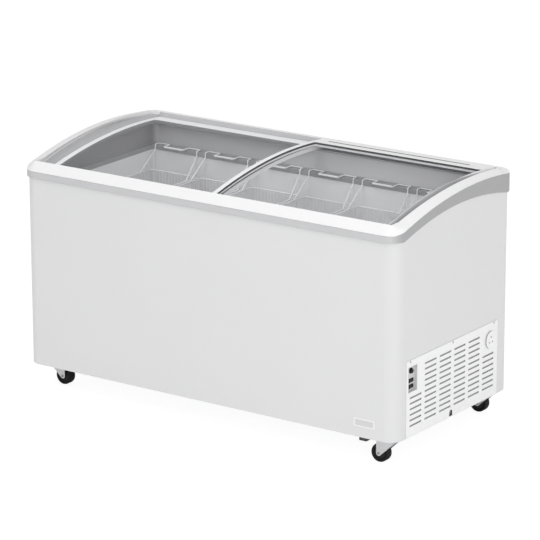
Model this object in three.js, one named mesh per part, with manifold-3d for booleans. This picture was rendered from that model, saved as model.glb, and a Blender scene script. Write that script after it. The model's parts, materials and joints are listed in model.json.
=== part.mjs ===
// Chest freezer with two curved sliding glass lids, six hanging wire baskets, a ventilated
// machine compartment at the right-hand end and four swivel casters.
//
// Millimetres. +X runs to the right seen from the front, -Y is the front, +Z is up.
// The origin is on the floor, under the middle of the cabinet.

import * as THREE from 'three';
import { mergeVertices } from 'three/addons/utils/BufferGeometryUtils.js';
import Module from 'manifold-3d';

const wasm = await Module();
wasm.setup();

// ---------------------------------------------------------------- driving dimensions

const GAP = 0.3; // clearance left between pieces that rest against each other

// Cabinet
const BODY_W = 1530;
const BODY_D = 720;
const CORNER_R = 50;
const BODY_BOTTOM = 90;
const SHEET = 1.5;
const PAN = 2; // thickness of the base pan
const ARC_STEPS = 6; // facets in one rounded corner
const SIDE_STEPS = 12; // facets along one curved end

// Top mouldings
const TRIM_PROUD = 7;
const COLLAR_DEPTH = 18; // height of the collar's inner face
const COLLAR_INSET = { side: 35, front: 23, rear: 15 }; // inner edge, measured in from the cabinet face
const FRONT_TRIM = { bottom: 764, top: 787 };
const FRONT_COLLAR_TOP = 820;
const REAR_COLLAR_TOP = 861;

// Interior
const LEDGE_Z = 752;
const LEDGE_SHEET = 4;
const LIP_Z = 735;
const THROAT_WALL = { x: 705, y: 313, r: 25, thickness: 3.3 };
const LINER = { x: 695, y: 291, floor: 160, sheet: 1.2 };
const STEP_X = 372; // start of the raised floor over the machine compartment
const STEP_Z = 430;

// Machine compartment
const COMPARTMENT = { x: 430, z: 370 };
const GRILLE = { y0: -294, y1: 273, z0: 90.3, z1: 354, sheet: 2 };
const SLOT = { length: 72, height: 6.4, pitchY: 90.4, pitchZ: 19.2, firstY: -238.3, topZ: 321.2 };
const SLOT_BOTTOM_ROW = 10;
const SLOT_TOP_ROW = [5, 0, 0, 0, 0, 4]; // first slot row of each column, counted from the top
const SCREW = { ys: [-272.5, -11.9, 248.7], z: 349, headR: 4, shankR: 1.8 };
const RECESS = { y0: -284.5, y1: -229.5, z0: 244.5, z1: 332.5, depth: 11 };
const PLUG_DISC = { y: 224.5, z: 296, r: 30, pins: [[0, 10], [-9.7, -8], [9.7, -8]] };
const DRAIN = { y: -19.5, z: 104, r: 8, bore: 5.5 };

// Lids
const LID_END = 704; // half the length of the track between the end stops
const LID_UPPER = { x0: 5, x1: LID_END, y0: -336.2, y1: 343, height: 15.5 };
const LID_LOWER = { x0: -LID_END, x1: 14, y0: -331, y1: 338, height: 14 };
const BARS_UPPER = { left: 18, right: 6, front: 20, rear: 74, r: 6 }; // widths and corner radius
const BARS_LOWER = { left: 22, right: 20, front: 19, rear: 53, r: 8 };
const LID_CORNER_R = 6;
const GLASS = 5;
const SEAL = { inset: 1, width: 7, y0: -310, y1: 320 };

// Baskets
const BASKET = { count: 6, pitch: 223, width: 205, halfY: 270, rim: 665, bottom: 450, wall: 2.5 };
const BASKET_ROW_X = -32; // middle of the row, which is pushed up against the left-hand wall
const HANDLE = { hookX: 92.5, gripX: 42, gripY: 267, legY: 284.5, hookY: 306, footY: 206 };
const WIRE_R = 2.5;

// Casters
const CASTER_X = 705;
const CASTER_TRAIL = 28;
const CASTER_Y = { right: [-301, 314], left: [-259, 272] }; // front, rear
const WHEEL_R = 32;
const WHEEL_HALF_W = 15;

// ---------------------------------------------------------------- curved top lines
// The ends of the cabinet follow shallow arcs in Y, each a parabola with its own crest.

const arc = (y, crestZ, crestY, flatness) => crestZ - (y - crestY) ** 2 / flatness;
const mix = (a, b, t) => a + (b - a) * THREE.MathUtils.clamp(t, 0, 1);

const trimBottom = (y) => Math.max(FRONT_TRIM.bottom, y > 0 ? 790 : 0, arc(y, 820, 45, 2400));
const trimTop = (y) => Math.max(FRONT_TRIM.top, arc(y, 865.7, 135, 3040));
const upperLidTop = (y) => arc(y, 870.5, 155, 3620);
const lowerLidTop = (y) => arc(y, 849, 190, 3800);
const endRailTop = (y) => arc(y, 873, 85, 2700);

function collarTop(y) {
  const crest = Math.max(FRONT_COLLAR_TOP, arc(y, 875.5, 155, 3620));
  return y > 316 ? mix(crest, REAR_COLLAR_TOP, (y - 316) / 20) : crest;
}

const flangeBottom = (y) => collarTop(y) - COLLAR_DEPTH;

// Height of something that runs under the lower lid along the ends, and meets the front and
// rear rails at their own heights.
function underLids(y, drop, frontZ, rearZ) {
  const side = lowerLidTop(y) - LID_LOWER.height - drop;
  const reach = (Math.abs(y) - THROAT_WALL.y + THROAT_WALL.r) / THROAT_WALL.r;
  return mix(side, y > 0 ? rearZ : frontZ, reach);
}

// ---------------------------------------------------------------- geometry helpers

const rect = (x0, x1, y0, y1, r = 0) => ({ x0, x1, y0, y1, r });
const centred = (halfX, halfY, r = 0) => rect(-halfX, halfX, -halfY, halfY, r);

// Welds shared vertices and drops triangles that have collapsed to a line.
function weld(geometry) {
  const source = geometry.clone();
  source.deleteAttribute('normal');
  source.deleteAttribute('uv');
  const merged = mergeVertices(source, 1e-4);
  const index = merged.index.array;
  const kept = [];
  for (let i = 0; i < index.length; i += 3) {
    const [a, b, c] = [index[i], index[i + 1], index[i + 2]];
    if (a !== b && b !== c && c !== a) kept.push(a, b, c);
  }
  merged.setIndex(kept);
  return merged;
}

function signedVolume(geometry) {
  const position = geometry.attributes.position;
  const index = geometry.index.array;
  const [a, b, c] = [new THREE.Vector3(), new THREE.Vector3(), new THREE.Vector3()];
  let volume = 0;
  for (let i = 0; i < index.length; i += 3) {
    a.fromBufferAttribute(position, index[i]);
    b.fromBufferAttribute(position, index[i + 1]);
    c.fromBufferAttribute(position, index[i + 2]);
    volume += a.dot(b.cross(c)) / 6;
  }
  return volume;
}

// Skins a list of cross-sections that all have the same number of points. A closed loft joins
// the last section to the first; an open one gets two flat caps.
function loft(sections, { closed = false, capPlane = ['x', 'z'] } = {}) {
  const count = sections[0].length;
  const positions = sections.flat().flatMap((p) => [p.x, p.y, p.z]);
  const index = [];
  const rows = closed ? sections.length : sections.length - 1;
  for (let i = 0; i < rows; i += 1) {
    const next = (i + 1) % sections.length;
    for (let j = 0; j < count; j += 1) {
      const k = (j + 1) % count;
      const [a, b, c, d] = [i * count + j, i * count + k, next * count + k, next * count + j];
      index.push(a, b, c, a, c, d);
    }
  }
  if (!closed) {
    const flat = sections[0].map((p) => new THREE.Vector2(p[capPlane[0]], p[capPlane[1]]));
    const last = (sections.length - 1) * count;
    const clockwise = THREE.ShapeUtils.isClockWise(flat);
    for (const triangle of THREE.ShapeUtils.triangulateShape(flat, [])) {
      const reversed = THREE.ShapeUtils.isClockWise(triangle.map((i) => flat[i])) !== clockwise;
      const [a, b, c] = reversed ? triangle.toReversed() : triangle;
      index.push(c, b, a, last + a, last + b, last + c);
    }
  }
  const geometry = new THREE.BufferGeometry();
  geometry.setAttribute('position', new THREE.Float32BufferAttribute(positions, 3));
  geometry.setIndex(index);
  const skin = weld(geometry);
  if (signedVolume(skin) < 0) reverse(skin);
  return skin;
}

function reverse(geometry) {
  const index = Array.from(geometry.index.array);
  for (let i = 0; i < index.length; i += 3) [index[i], index[i + 1]] = [index[i + 1], index[i]];
  geometry.setIndex(index);
}

// Points round a rounded rectangle, anticlockwise from the front right corner. Every rectangle
// gives the same number of points, so rectangles of one moulding line up corner by corner.
function outline({ x0, x1, y0, y1, r }, arcSteps = ARC_STEPS, sideSteps = SIDE_STEPS) {
  const points = [];
  const corner = (cx, cy, from) => {
    for (let i = 0; i <= arcSteps; i += 1) {
      const angle = from + (i / arcSteps) * (Math.PI / 2);
      points.push([cx + r * Math.cos(angle), cy + r * Math.sin(angle)]);
    }
  };
  const side = (x, from, to) => {
    for (let i = 1; i < sideSteps; i += 1) points.push([x, mix(from, to, i / sideSteps)]);
  };
  corner(x1 - r, y0 + r, -Math.PI / 2);
  side(x1, y0 + r, y1 - r);
  corner(x1 - r, y1 - r, 0);
  corner(x0 + r, y1 - r, Math.PI / 2);
  side(x0, y1 - r, y0 + r);
  corner(x0 + r, y0 + r, Math.PI);
  return points;
}

// A ring moulding. Its profile is a list of [rectangle, height], where a height is a number or
// a function of y.
function ring(profile, arcSteps = ARC_STEPS) {
  const corners = profile.map(([box, height]) => outline(box, arcSteps).map(([x, y]) =>
    new THREE.Vector3(x, y, typeof height === 'function' ? height(y) : height)));
  const sections = corners[0].map((_, i) => corners.map((line) => line[i]));
  return loft(sections, { closed: true });
}

function block(x0, x1, y0, y1, z0, z1) {
  const geometry = new THREE.BoxGeometry(x1 - x0, y1 - y0, z1 - z0);
  geometry.translate((x0 + x1) / 2, (y0 + y1) / 2, (z0 + z1) / 2);
  return geometry;
}

const shapeOf = (points) => new THREE.Shape(points.map(([a, b]) => new THREE.Vector2(a, b)));

function extrude(shape, depth, curveSegments = 8) {
  return new THREE.ExtrudeGeometry(shape, { depth, bevelEnabled: false, curveSegments });
}

// Outline given as [y, z], drawn out along X.
function alongX(shape, x0, x1, curveSegments) {
  const turn = new THREE.Matrix4().set(0, 0, 1, x0, 1, 0, 0, 0, 0, 1, 0, 0, 0, 0, 0, 1);
  return extrude(shape, x1 - x0, curveSegments).applyMatrix4(turn);
}

// Outline given as [z, x], drawn out along Y.
function alongY(shape, y0, y1, curveSegments) {
  const turn = new THREE.Matrix4().set(0, 1, 0, 0, 0, 0, 1, y0, 1, 0, 0, 0, 0, 0, 0, 1);
  return extrude(shape, y1 - y0, curveSegments).applyMatrix4(turn);
}

function prism(box, z0, z1, arcSteps = ARC_STEPS) {
  const points = outline(box, box.r > 0 ? arcSteps : 0, 1);
  return extrude(shapeOf(points), z1 - z0).translate(0, 0, z0);
}

function cylinder(radius, length, axis, at, sides = 16) {
  const geometry = new THREE.CylinderGeometry(radius, radius, length, sides);
  if (axis === 'x') geometry.rotateZ(-Math.PI / 2);
  if (axis === 'z') geometry.rotateX(Math.PI / 2);
  return geometry.translate(...at);
}

function toManifold(geometry) {
  const skin = weld(geometry);
  return new wasm.Manifold(
    new wasm.Mesh({
      numProp: 3,
      vertProperties: new Float32Array(skin.attributes.position.array),
      triVerts: new Uint32Array(skin.index.array),
    }),
  );
}

function toGeometry(manifold) {
  const { vertProperties, triVerts } = manifold.getMesh();
  const geometry = new THREE.BufferGeometry();
  geometry.setAttribute('position', new THREE.BufferAttribute(vertProperties, 3));
  geometry.setIndex(new THREE.BufferAttribute(triVerts, 1));
  return geometry;
}

const join = (...pieces) => toGeometry(pieces.map(toManifold).reduce((a, b) => a.add(b)));
const cut = (stock, ...tools) =>
  toGeometry(tools.map(toManifold).reduce((a, b) => a.subtract(b), toManifold(stock)));
const common = (a, b) => toGeometry(toManifold(a).intersect(toManifold(b)));

// A bent rod with mitred corners.
function rod(points, radius, sides = 5) {
  const path = points.map((p) => new THREE.Vector3(...p));
  const directions = path.slice(1).map((p, i) => p.clone().sub(path[i]).normalize());
  const start = Math.abs(directions[0].z) > 0.9 ? new THREE.Vector3(1, 0, 0) : new THREE.Vector3(0, 0, 1);
  const normal = start.cross(directions[0]).normalize();
  const binormal = directions[0].clone().cross(normal);
  const offsets = Array.from({ length: sides }, (_, i) => {
    const angle = (i / sides) * 2 * Math.PI;
    return normal.clone().multiplyScalar(radius * Math.cos(angle))
      .addScaledVector(binormal, radius * Math.sin(angle));
  });
  const sections = path.map((centre, i) => {
    const before = directions[Math.max(i - 1, 0)];
    const after = directions[Math.min(i, directions.length - 1)];
    const mitre = before.clone().add(after).normalize();
    return offsets.map((offset) => {
      offset.addScaledVector(before, -offset.dot(mitre) / before.dot(mitre));
      const point = centre.clone().add(offset);
      offset.addScaledVector(after, -offset.dot(after));
      return point;
    });
  });
  return loft(sections, { capPlane: capPlaneFor(directions[0]) });
}

function capPlaneFor(direction) {
  if (Math.abs(direction.x) > 0.7) return ['y', 'z'];
  return Math.abs(direction.y) > 0.7 ? ['z', 'x'] : ['x', 'y'];
}

// ---------------------------------------------------------------- materials

const finish = (color, roughness, metalness = 0, extra = {}) => ({ color, roughness, metalness, ...extra });
const FINISHES = {
  whitePaint: finish(0xe6e7e9, 0.35),
  whitePlastic: finish(0xf0f0f1, 0.42),
  greyPlastic: finish(0xb4b4b6, 0.5),
  paleGreyPlastic: finish(0xd8d8da, 0.45),
  insidePlastic: finish(0x9b9b9d, 0.5),
  foam: finish(0xe8dca8, 0.95),
  aluminium: finish(0xb9bcc0, 0.38, 0.9),
  galvanised: finish(0xbfc3c6, 0.45, 0.85),
  blackPlastic: finish(0x141416, 0.4),
  blackEnamel: finish(0x1b1b1d, 0.45, 0.3),
  darkSteel: finish(0x3c3d40, 0.55, 0.4),
  copper: finish(0xb87048, 0.35, 0.9),
  glass: finish(0xcfd8d8, 0.05, 0, { transparent: true, opacity: 0.25 }),
  wire: finish(0xd6d8da, 0.4, 0.2),
  tyre: finish(0x222224, 0.8),
  label: finish(0xf2f2f2, 0.5),
  brush: finish(0x5c5c60, 0.9),
};

const group = new THREE.Group();
group.name = 'chest_freezer';

function part(name, geometry, finishName) {
  const mesh = new THREE.Mesh(weld(geometry), new THREE.MeshStandardMaterial(FINISHES[finishName]));
  mesh.name = name;
  group.add(mesh);
  return mesh;
}

// ---------------------------------------------------------------- cabinet

const halfW = BODY_W / 2;
const halfD = BODY_D / 2;
const PAN_TOP = BODY_BOTTOM + PAN;
const bodyRect = (offset) => centred(halfW + offset, halfD + offset, CORNER_R + offset);
const compartmentCut = block(COMPARTMENT.x, halfW + 50, -halfD - 50, halfD + 50, 0, COMPARTMENT.z);
const screwHoles = SCREW.ys.map((y) => cylinder(SCREW.shankR + 0.4, 20, 'x', [halfW, y, SCREW.z], 8));
const REAR_SEAM_X = halfW - CORNER_R;
const REAR_OPENING = { x0: 452, x1: 696, z0: 106, z1: 354 };

function buildSkin() {
  const sheet = ring([
    [bodyRect(0), BODY_BOTTOM],
    [bodyRect(0), (y) => trimTop(y) - 3],
    [bodyRect(-SHEET), (y) => trimTop(y) - 3],
    [bodyRect(-SHEET), BODY_BOTTOM],
  ]);
  const behind = (seam) => block(-seam, seam, halfD - 20, halfD + 20, 0, 1000);
  const grilleOpening = block(halfW - 20, halfW + 20, GRILLE.y0 + 5, GRILLE.y1 - 7, 0, 338);
  const { x0, x1, z0, z1 } = REAR_OPENING;
  const rearOpening = block(x0, x1, halfD - 20, halfD + 20, z0, z1);
  part('outer_shell', cut(sheet, behind(REAR_SEAM_X), grilleOpening, ...screwHoles), 'whitePaint');
  part('rear_panel', cut(common(sheet, behind(REAR_SEAM_X - GAP)), rearOpening), 'whitePaint');
  part('base_pan', prism(bodyRect(-SHEET - GAP), BODY_BOTTOM, PAN_TOP), 'galvanised');
}

// Side view of the storage space, with the raised floor over the machine compartment.
function linerOutline(grow, top) {
  const { x, floor } = LINER;
  return shapeOf([
    [floor - grow, -x - grow],
    [floor - grow, STEP_X + grow],
    [STEP_Z - grow, STEP_X + grow],
    [STEP_Z - grow, x + grow],
    [top, x + grow],
    [top, -x - grow],
  ]);
}

function linerBlock(grow, top) {
  return alongY(linerOutline(grow, top), -LINER.y - grow, LINER.y + grow);
}

function buildInsulation() {
  const { x, y, r, thickness } = THROAT_WALL;
  const grow = thickness + GAP;
  const throatOut = centred(x + grow, y + grow, r + grow);
  const top = (py) => underLids(py, 2, 754.5, 822.5);
  const bottom = PAN_TOP + GAP;
  const jacket = ring([
    [bodyRect(-SHEET - GAP), bottom],
    [bodyRect(-SHEET - GAP), top],
    [throatOut, top],
    [throatOut, bottom],
  ]);
  const core = prism(centred(x + 10, y + 10, r), bottom, LEDGE_Z - LEDGE_SHEET - GAP);
  const lipSpace = prism(centred(698.3, 295.3, 4), LIP_Z - 2, LEDGE_Z + 20);
  const store = linerBlock(LINER.sheet + GAP, LEDGE_Z + 20);
  part('foam_body', cut(join(jacket, core), lipSpace, store, compartmentCut), 'foam');
  const rim = LIP_Z - 0.5;
  part('inner_liner', cut(linerBlock(LINER.sheet, rim), linerBlock(0, rim + 20)), 'aluminium');
}

// Plastic frame that lines the top of the storage space: wall, basket ledge and drip lip.
function buildInnerSurround() {
  const { x, y, r, thickness } = THROAT_WALL;
  const wallTop = (py) => underLids(py, 1.5, 756.3, 823.5);
  const wall = centred(x, y, r);
  const back = centred(x + thickness, y + thickness, r + thickness);
  const lip = centred(LINER.x - 1, LINER.y - 3, 12);
  const lipBack = centred(LINER.x + 3, LINER.y + 4, 16);
  const ledgeUnder = LEDGE_Z - LEDGE_SHEET;
  const profile = [
    [back, ledgeUnder], [back, wallTop], [wall, wallTop], [wall, LEDGE_Z],
    [lip, LEDGE_Z], [lip, LIP_Z], [lipBack, LIP_Z], [lipBack, ledgeUnder],
  ];
  part('inner_surround', ring(profile), 'insidePlastic');
}

// ---------------------------------------------------------------- top mouldings

function buildTopMouldings() {
  const outer = bodyRect(TRIM_PROUD);
  part('trim_band', ring([
    [outer, trimBottom],
    [outer, trimTop],
    [bodyRect(GAP), trimTop],
    [bodyRect(GAP), trimBottom],
  ]), 'greyPlastic');

  const { side, front, rear } = COLLAR_INSET;
  const inner = rect(-halfW + side, halfW - side, -halfD + front, halfD - rear);
  const base = (y) => trimTop(y) + GAP;
  const shoulderRise = (y) => mix(0.1, 0.9, (y - 310) / 50);
  part('top_collar', ring([
    [outer, base],
    [bodyRect(TRIM_PROUD - 3), (y) => mix(base(y), collarTop(y), shoulderRise(y))],
    [inner, collarTop],
    [inner, (y) => Math.min(flangeBottom(y), base(y))],
    [bodyRect(-1.5), (y) => base(y) + 1],
  ]), 'whitePlastic');
}

// End moulding: an upright rib that stops the lids, and a flange out to the collar.
function buildEndRail(name, sign) {
  const ribIn = LID_END + 1;
  const ribOut = ribIn + 9;
  const flangeOut = halfW - COLLAR_INSET.side - GAP;
  const y0 = -halfD + COLLAR_INSET.front + GAP;
  const y1 = halfD - COLLAR_INSET.rear - GAP;
  const sections = [];
  for (let i = 0; i <= SIDE_STEPS; i += 1) {
    const y = mix(y0, y1, i / SIDE_STEPS);
    const low = lowerLidTop(y) - LID_LOWER.height - 1;
    const under = flangeBottom(y);
    const flangeTop = under + 4;
    const high = Math.max(flangeTop + 2, endRailTop(y));
    const points = [
      [ribIn, low], [ribIn, high], [ribOut, high], [ribOut, flangeTop],
      [flangeOut, flangeTop], [flangeOut, under], [ribOut, under], [ribOut, low],
    ];
    sections.push(points.map(([x, z]) => new THREE.Vector3(sign * x, y, z)));
  }
  part(name, loft(sections), 'greyPlastic');
}

// Each long rail carries two tracks: the lower lid inside, the upper lid one step up and out.
function buildLidRails() {
  const x = LID_END + 0.5;
  const rear = [
    [313.3, 824.3], [344.7, 824.3], [344.7, 860], [343.5, 860],
    [343.5, 844.3], [339, 844.3], [339, 828.7], [313.3, 828.7],
  ];
  const front = [
    [-313.3, 757.3], [-313.3, 763], [-332, 763], [-332, 787], [-336.7, 787], [-336.7, 757.3],
  ];
  part('rear_rail', alongX(shapeOf(rear), -x, x), 'greyPlastic');
  part('front_rail', alongX(shapeOf(front), -x, x), 'greyPlastic');
  buildEndRail('left_end_rail', -1);
  buildEndRail('right_end_rail', 1);
}

// ---------------------------------------------------------------- sliding lids

function buildLid(side, lid, topOf, bars) {
  const { x0, x1, y0, y1, height } = lid;
  const outer = rect(x0, x1, y0, y1, LID_CORNER_R);
  const inner = rect(x0 + bars.left, x1 - bars.right, y0 + bars.front, y1 - bars.rear, bars.r);
  const below = (y) => topOf(y) - height;
  const frame = ring([[outer, below], [outer, topOf], [inner, topOf], [inner, below]], 4);
  part(`${side}_lid_frame`, frame, 'whitePlastic');

  const pane = rect(inner.x0 + GAP, inner.x1 - GAP, inner.y0 + GAP, inner.y1 - GAP, inner.r - GAP);
  const sections = [];
  for (let i = 0; i <= SIDE_STEPS; i += 1) {
    const y = mix(pane.y0 - 1, pane.y1 + 1, i / SIDE_STEPS);
    const top = topOf(y) - 1.5;
    const [left, right] = [pane.x0 - 1, pane.x1 + 1];
    const points = [[left, top], [right, top], [right, top - GLASS], [left, top - GLASS]];
    sections.push(points.map(([x, z]) => new THREE.Vector3(x, y, z)));
  }
  part(`${side}_lid_glass`, common(loft(sections), prism(pane, 700, 900, 4)), 'glass');
}

function buildCentreSeal() {
  const x0 = LID_UPPER.x0 + SEAL.inset;
  const x1 = x0 + SEAL.width;
  const sections = [];
  for (let i = 0; i <= SIDE_STEPS; i += 1) {
    const y = mix(SEAL.y0, SEAL.y1, i / SIDE_STEPS);
    const top = upperLidTop(y) - LID_UPPER.height - GAP;
    const bottom = lowerLidTop(y) + 0.6;
    const points = [[x0, bottom], [x1, bottom], [x1, top], [x0, top]];
    sections.push(points.map(([x, z]) => new THREE.Vector3(x, y, z)));
  }
  part('centre_brush_seal', loft(sections), 'brush');
}

function buildLids() {
  buildLid('right', LID_UPPER, upperLidTop, BARS_UPPER);
  buildLid('left', LID_LOWER, lowerLidTop, BARS_LOWER);
  buildCentreSeal();
}

// ---------------------------------------------------------------- baskets

// One hanging handle: two hooks that rest on the ledge, joined by a grip, with a brace from
// each hook down to the side of the rim.
function basketHandle(xc, sign) {
  const hookZ = LEDGE_Z + WIRE_R + 0.5;
  const rimX = BASKET.width / 2 - 1;
  const { hookX, gripX, gripY, legY, hookY, footY } = HANDLE;
  const half = (s) => [
    [s * rimX, footY, BASKET.rim - 1], [s * hookX, legY, LIP_Z + 2], [s * hookX, legY, hookZ],
    [s * hookX, hookY, hookZ], [s * gripX, hookY, hookZ], [s * gripX, gripY, hookZ],
  ];
  const points = [...half(-1), ...half(1).reverse()];
  return rod(points.map(([x, y, z]) => [xc + x, sign * y, z]), WIRE_R);
}

function buildBasket(number) {
  const { count, pitch, width, halfY, rim, bottom, wall } = BASKET;
  const xc = BASKET_ROW_X + (number - (count + 1) / 2) * pitch;
  const halfX = width / 2;
  const shell = (inset) =>
    rect(xc - halfX + inset, xc + halfX - inset, -halfY + inset, halfY - inset, 14 - inset);
  const tub = cut(prism(shell(0), bottom, rim, 2), prism(shell(wall), bottom + wall, rim + 10, 2));
  part(`basket_${number}`, join(tub, basketHandle(xc, 1), basketHandle(xc, -1)), 'wire');
}

// ---------------------------------------------------------------- machine compartment

// A slot with pointed ends, long in the outline's first coordinate unless it is turned.
function slotPath(centreA, centreB, turned = false) {
  const [a, b, c] = [SLOT.length / 2, SLOT.height / 2, SLOT.length / 2 - SLOT.height / 2];
  const points = [[-a, 0], [-c, -b], [c, -b], [a, 0], [c, b], [-c, b]];
  return new THREE.Path(points.map(([along, across]) => (turned
    ? new THREE.Vector2(centreA + across, centreB + along)
    : new THREE.Vector2(centreA + along, centreB + across))));
}

function buildGrille() {
  const { y0, y1, z0, z1, sheet } = GRILLE;
  const notch = { half: 10.5, top: 115 };
  const panel = new THREE.Shape();
  panel.moveTo(y0, z0);
  panel.lineTo(DRAIN.y - notch.half, z0);
  panel.lineTo(DRAIN.y - notch.half, notch.top - notch.half);
  panel.absarc(DRAIN.y, notch.top - notch.half, notch.half, Math.PI, 0, true);
  panel.lineTo(DRAIN.y + notch.half, z0);
  panel.lineTo(y1, z0);
  panel.lineTo(y1, z1);
  panel.lineTo(y0, z1);
  SLOT_TOP_ROW.forEach((firstRow, column) => {
    for (let row = firstRow; row <= SLOT_BOTTOM_ROW; row += 1) {
      panel.holes.push(slotPath(SLOT.firstY + column * SLOT.pitchY, SLOT.topZ - row * SLOT.pitchZ));
    }
  });
  const r = RECESS;
  const window = [[r.y0, r.z0], [r.y1, r.z0], [r.y1, r.z1], [r.y0, r.z1]];
  panel.holes.push(new THREE.Path(window.map(([y, z]) => new THREE.Vector2(y, z))));
  const face = halfW + GAP;
  const sheetMetal = alongX(panel, face, face + sheet, 6);
  part('machine_grille', cut(sheetMetal, ...screwHoles), 'whitePaint');

  SCREW.ys.forEach((y, i) => {
    const seat = face + sheet + 0.2;
    const head = cylinder(SCREW.headR, 1.4, 'x', [seat + 0.7, y, SCREW.z], 12);
    const shank = cylinder(SCREW.shankR, 11, 'x', [seat - 5, y, SCREW.z], 8);
    part(`grille_screw_${i + 1}`, join(head, shank), 'galvanised');
  });

  const disc = cylinder(PLUG_DISC.r, 4.3, 'x', [face + sheet + 2.4, PLUG_DISC.y, PLUG_DISC.z], 28);
  const pinHoles = PLUG_DISC.pins.map(([dy, dz]) =>
    cylinder(3, 20, 'x', [face + sheet + 2, PLUG_DISC.y + dy, PLUG_DISC.z + dz], 8));
  part('plug_holder', cut(disc, ...pinHoles), 'whitePlastic');
}

const recessFloor = halfW + GAP + GRILLE.sheet - RECESS.depth;
const controlY = -254;
const CONTROL = { knobZ: 314, knobR: 10, switchZ: [280, 260], switchY: 29, switchZSize: 11.5 };
const ROCKER_TILT = THREE.MathUtils.degToRad(7);

function buildControls() {
  const r = RECESS;
  const front = halfW + GAP + GRILLE.sheet;
  const tray = block(recessFloor - 2, front, r.y0 + GAP, r.y1 - GAP, r.z0 + GAP, r.z1 - GAP);
  const hollow = block(recessFloor, front + 5, r.y0 + 1.8, r.y1 - 1.8, r.z0 + 1.8, r.z1 - 1.8);
  const knobHole = cylinder(3.4, 20, 'x', [recessFloor, controlY, CONTROL.knobZ], 10);
  const holeY = CONTROL.switchY / 2 + 1;
  const holeZ = CONTROL.switchZSize / 2 + 0.5;
  const switchHoles = CONTROL.switchZ.map((z) => block(
    recessFloor - 9, recessFloor + 9, controlY - holeY, controlY + holeY, z - holeZ, z + holeZ,
  ));
  part('control_housing', cut(tray, hollow, knobHole, ...switchHoles), 'paleGreyPlastic');

  const grip = cylinder(CONTROL.knobR, 6.5, 'x', [recessFloor + 3.8, controlY, CONTROL.knobZ], 24);
  const { knobZ } = CONTROL;
  const pointer = block(recessFloor + 6, recessFloor + 8.5, controlY - 1, controlY + 1, knobZ, knobZ + 8.5);
  const spindle = cylinder(3, 12, 'x', [recessFloor - 3, controlY, CONTROL.knobZ], 10);
  part('thermostat_knob', join(grip, pointer, spindle), 'blackPlastic');
  const behind = recessFloor - 9 - GAP;
  part('thermostat_body', block(behind - 28, behind, controlY - 20, controlY + 20, 294, 328), 'galvanised');

  ['power_switch', 'fast_freeze_switch'].forEach((name, i) => {
    const half = CONTROL.switchY / 2;
    const side = shapeOf([[-half, -3], [half, -3], [half, 4], [0, 2.4], [-half, 4]]);
    const halfZ = CONTROL.switchZSize / 2;
    const paddle = extrude(side, CONTROL.switchZSize).translate(0, 0, -halfZ);
    paddle.rotateZ(-Math.PI / 2 + ROCKER_TILT);
    part(name, paddle.translate(recessFloor, controlY, CONTROL.switchZ[i]), 'blackPlastic');
  });
}

function buildRefrigeration() {
  const floor = PAN_TOP + GAP;
  const dome = [[0, 8], [70, 8], [80, 30], [82, 90], [80, 130], [66, 165], [36, 182], [0, 187]];
  const profile = dome.map(([x, z]) => new THREE.Vector2(x, z));
  const can = new THREE.LatheGeometry(profile, 18).rotateX(Math.PI / 2);
  const feet = block(-90, 90, -60, 60, 6, 10);
  const pads = [[-78, -48], [78, -48], [78, 48], [-78, 48]].map(([x, y]) =>
    cylinder(12, 8, 'z', [x, y, 4], 10));
  const terminalBox = block(-90, -60, -30, 30, 60, 120);
  part('compressor', join(can, feet, ...pads, terminalBox).translate(545, 200, floor), 'blackEnamel');

  const coil = { x0: 706, x1: 738, y0: -150, y1: 110, z0: 112, z1: 332 };
  const finCount = 7;
  const fins = Array.from({ length: finCount }, (_, i) => {
    const y = mix(coil.y0, coil.y1 - 2, i / (finCount - 1));
    return block(coil.x0, coil.x1, y, y + 2, coil.z0, coil.z1);
  });
  const tubes = [0, 1, 2].map((i) =>
    cylinder(5, 280, 'y', [722, -20, mix(coil.z0 + 30, coil.z1 - 30, i / 2)], 6));
  part('condenser', join(...fins, ...tubes), 'aluminium');

  const hub = { x: 676, y: -20, z: 222 };
  const motor = cylinder(34, 60, 'x', [hub.x - 52, hub.y, hub.z], 16);
  const mast = block(hub.x - 70, hub.x - 40, hub.y - 12, hub.y + 12, floor, hub.z);
  const foot = block(hub.x - 90, hub.x - 24, hub.y - 40, hub.y + 40, floor, floor + 2);
  const shaft = cylinder(4, 14, 'x', [hub.x - 18, hub.y, hub.z], 10);
  part('fan_motor', join(motor, mast, foot, shaft), 'galvanised');

  const blades = [0, 1, 2, 3, 4].map((i) =>
    new THREE.BoxGeometry(2, 44, 62).rotateZ(0.45).translate(0, 0, 49).rotateX((i * 2 * Math.PI) / 5));
  const boss = cylinder(20, 22, 'x', [0, 0, 0], 16);
  const rotor = join(boss, ...blades).translate(hub.x + 2.5, hub.y, hub.z);
  part('fan_blade', rotor, 'blackPlastic');

  const drier = { x: 470, y: -40, z: 150 };
  const canister = cylinder(14, 110, 'y', [drier.x, drier.y, drier.z], 14);
  const stub = (y0, y1) => cylinder(4, Math.abs(y1 - y0), 'y', [drier.x, (y0 + y1) / 2, drier.z], 8);
  part('filter_drier', join(canister, stub(drier.y - 50, -120), stub(drier.y + 50, 60)), 'copper');
}

function buildCordAndDrain() {
  const turns = 20;
  const loop = Array.from({ length: turns + 1 }, (_, i) => {
    const angle = (i / turns) * 1.85 * Math.PI;
    return [560 + 68 * Math.cos(angle), -232 + 68 * Math.sin(angle), 100 + i * 0.8];
  });
  const plug = block(612, 646, -246, -216, 98, 126);
  part('power_cord', join(rod(loop, 4, 6), plug), 'blackPlastic');

  const spout = cylinder(DRAIN.r, 60, 'x', [halfW - 33, DRAIN.y, DRAIN.z], 14);
  const bore = cylinder(DRAIN.bore, 80, 'x', [halfW - 33, DRAIN.y, DRAIN.z], 14);
  part('drain_spout', cut(spout, bore), 'greyPlastic');
}

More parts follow.
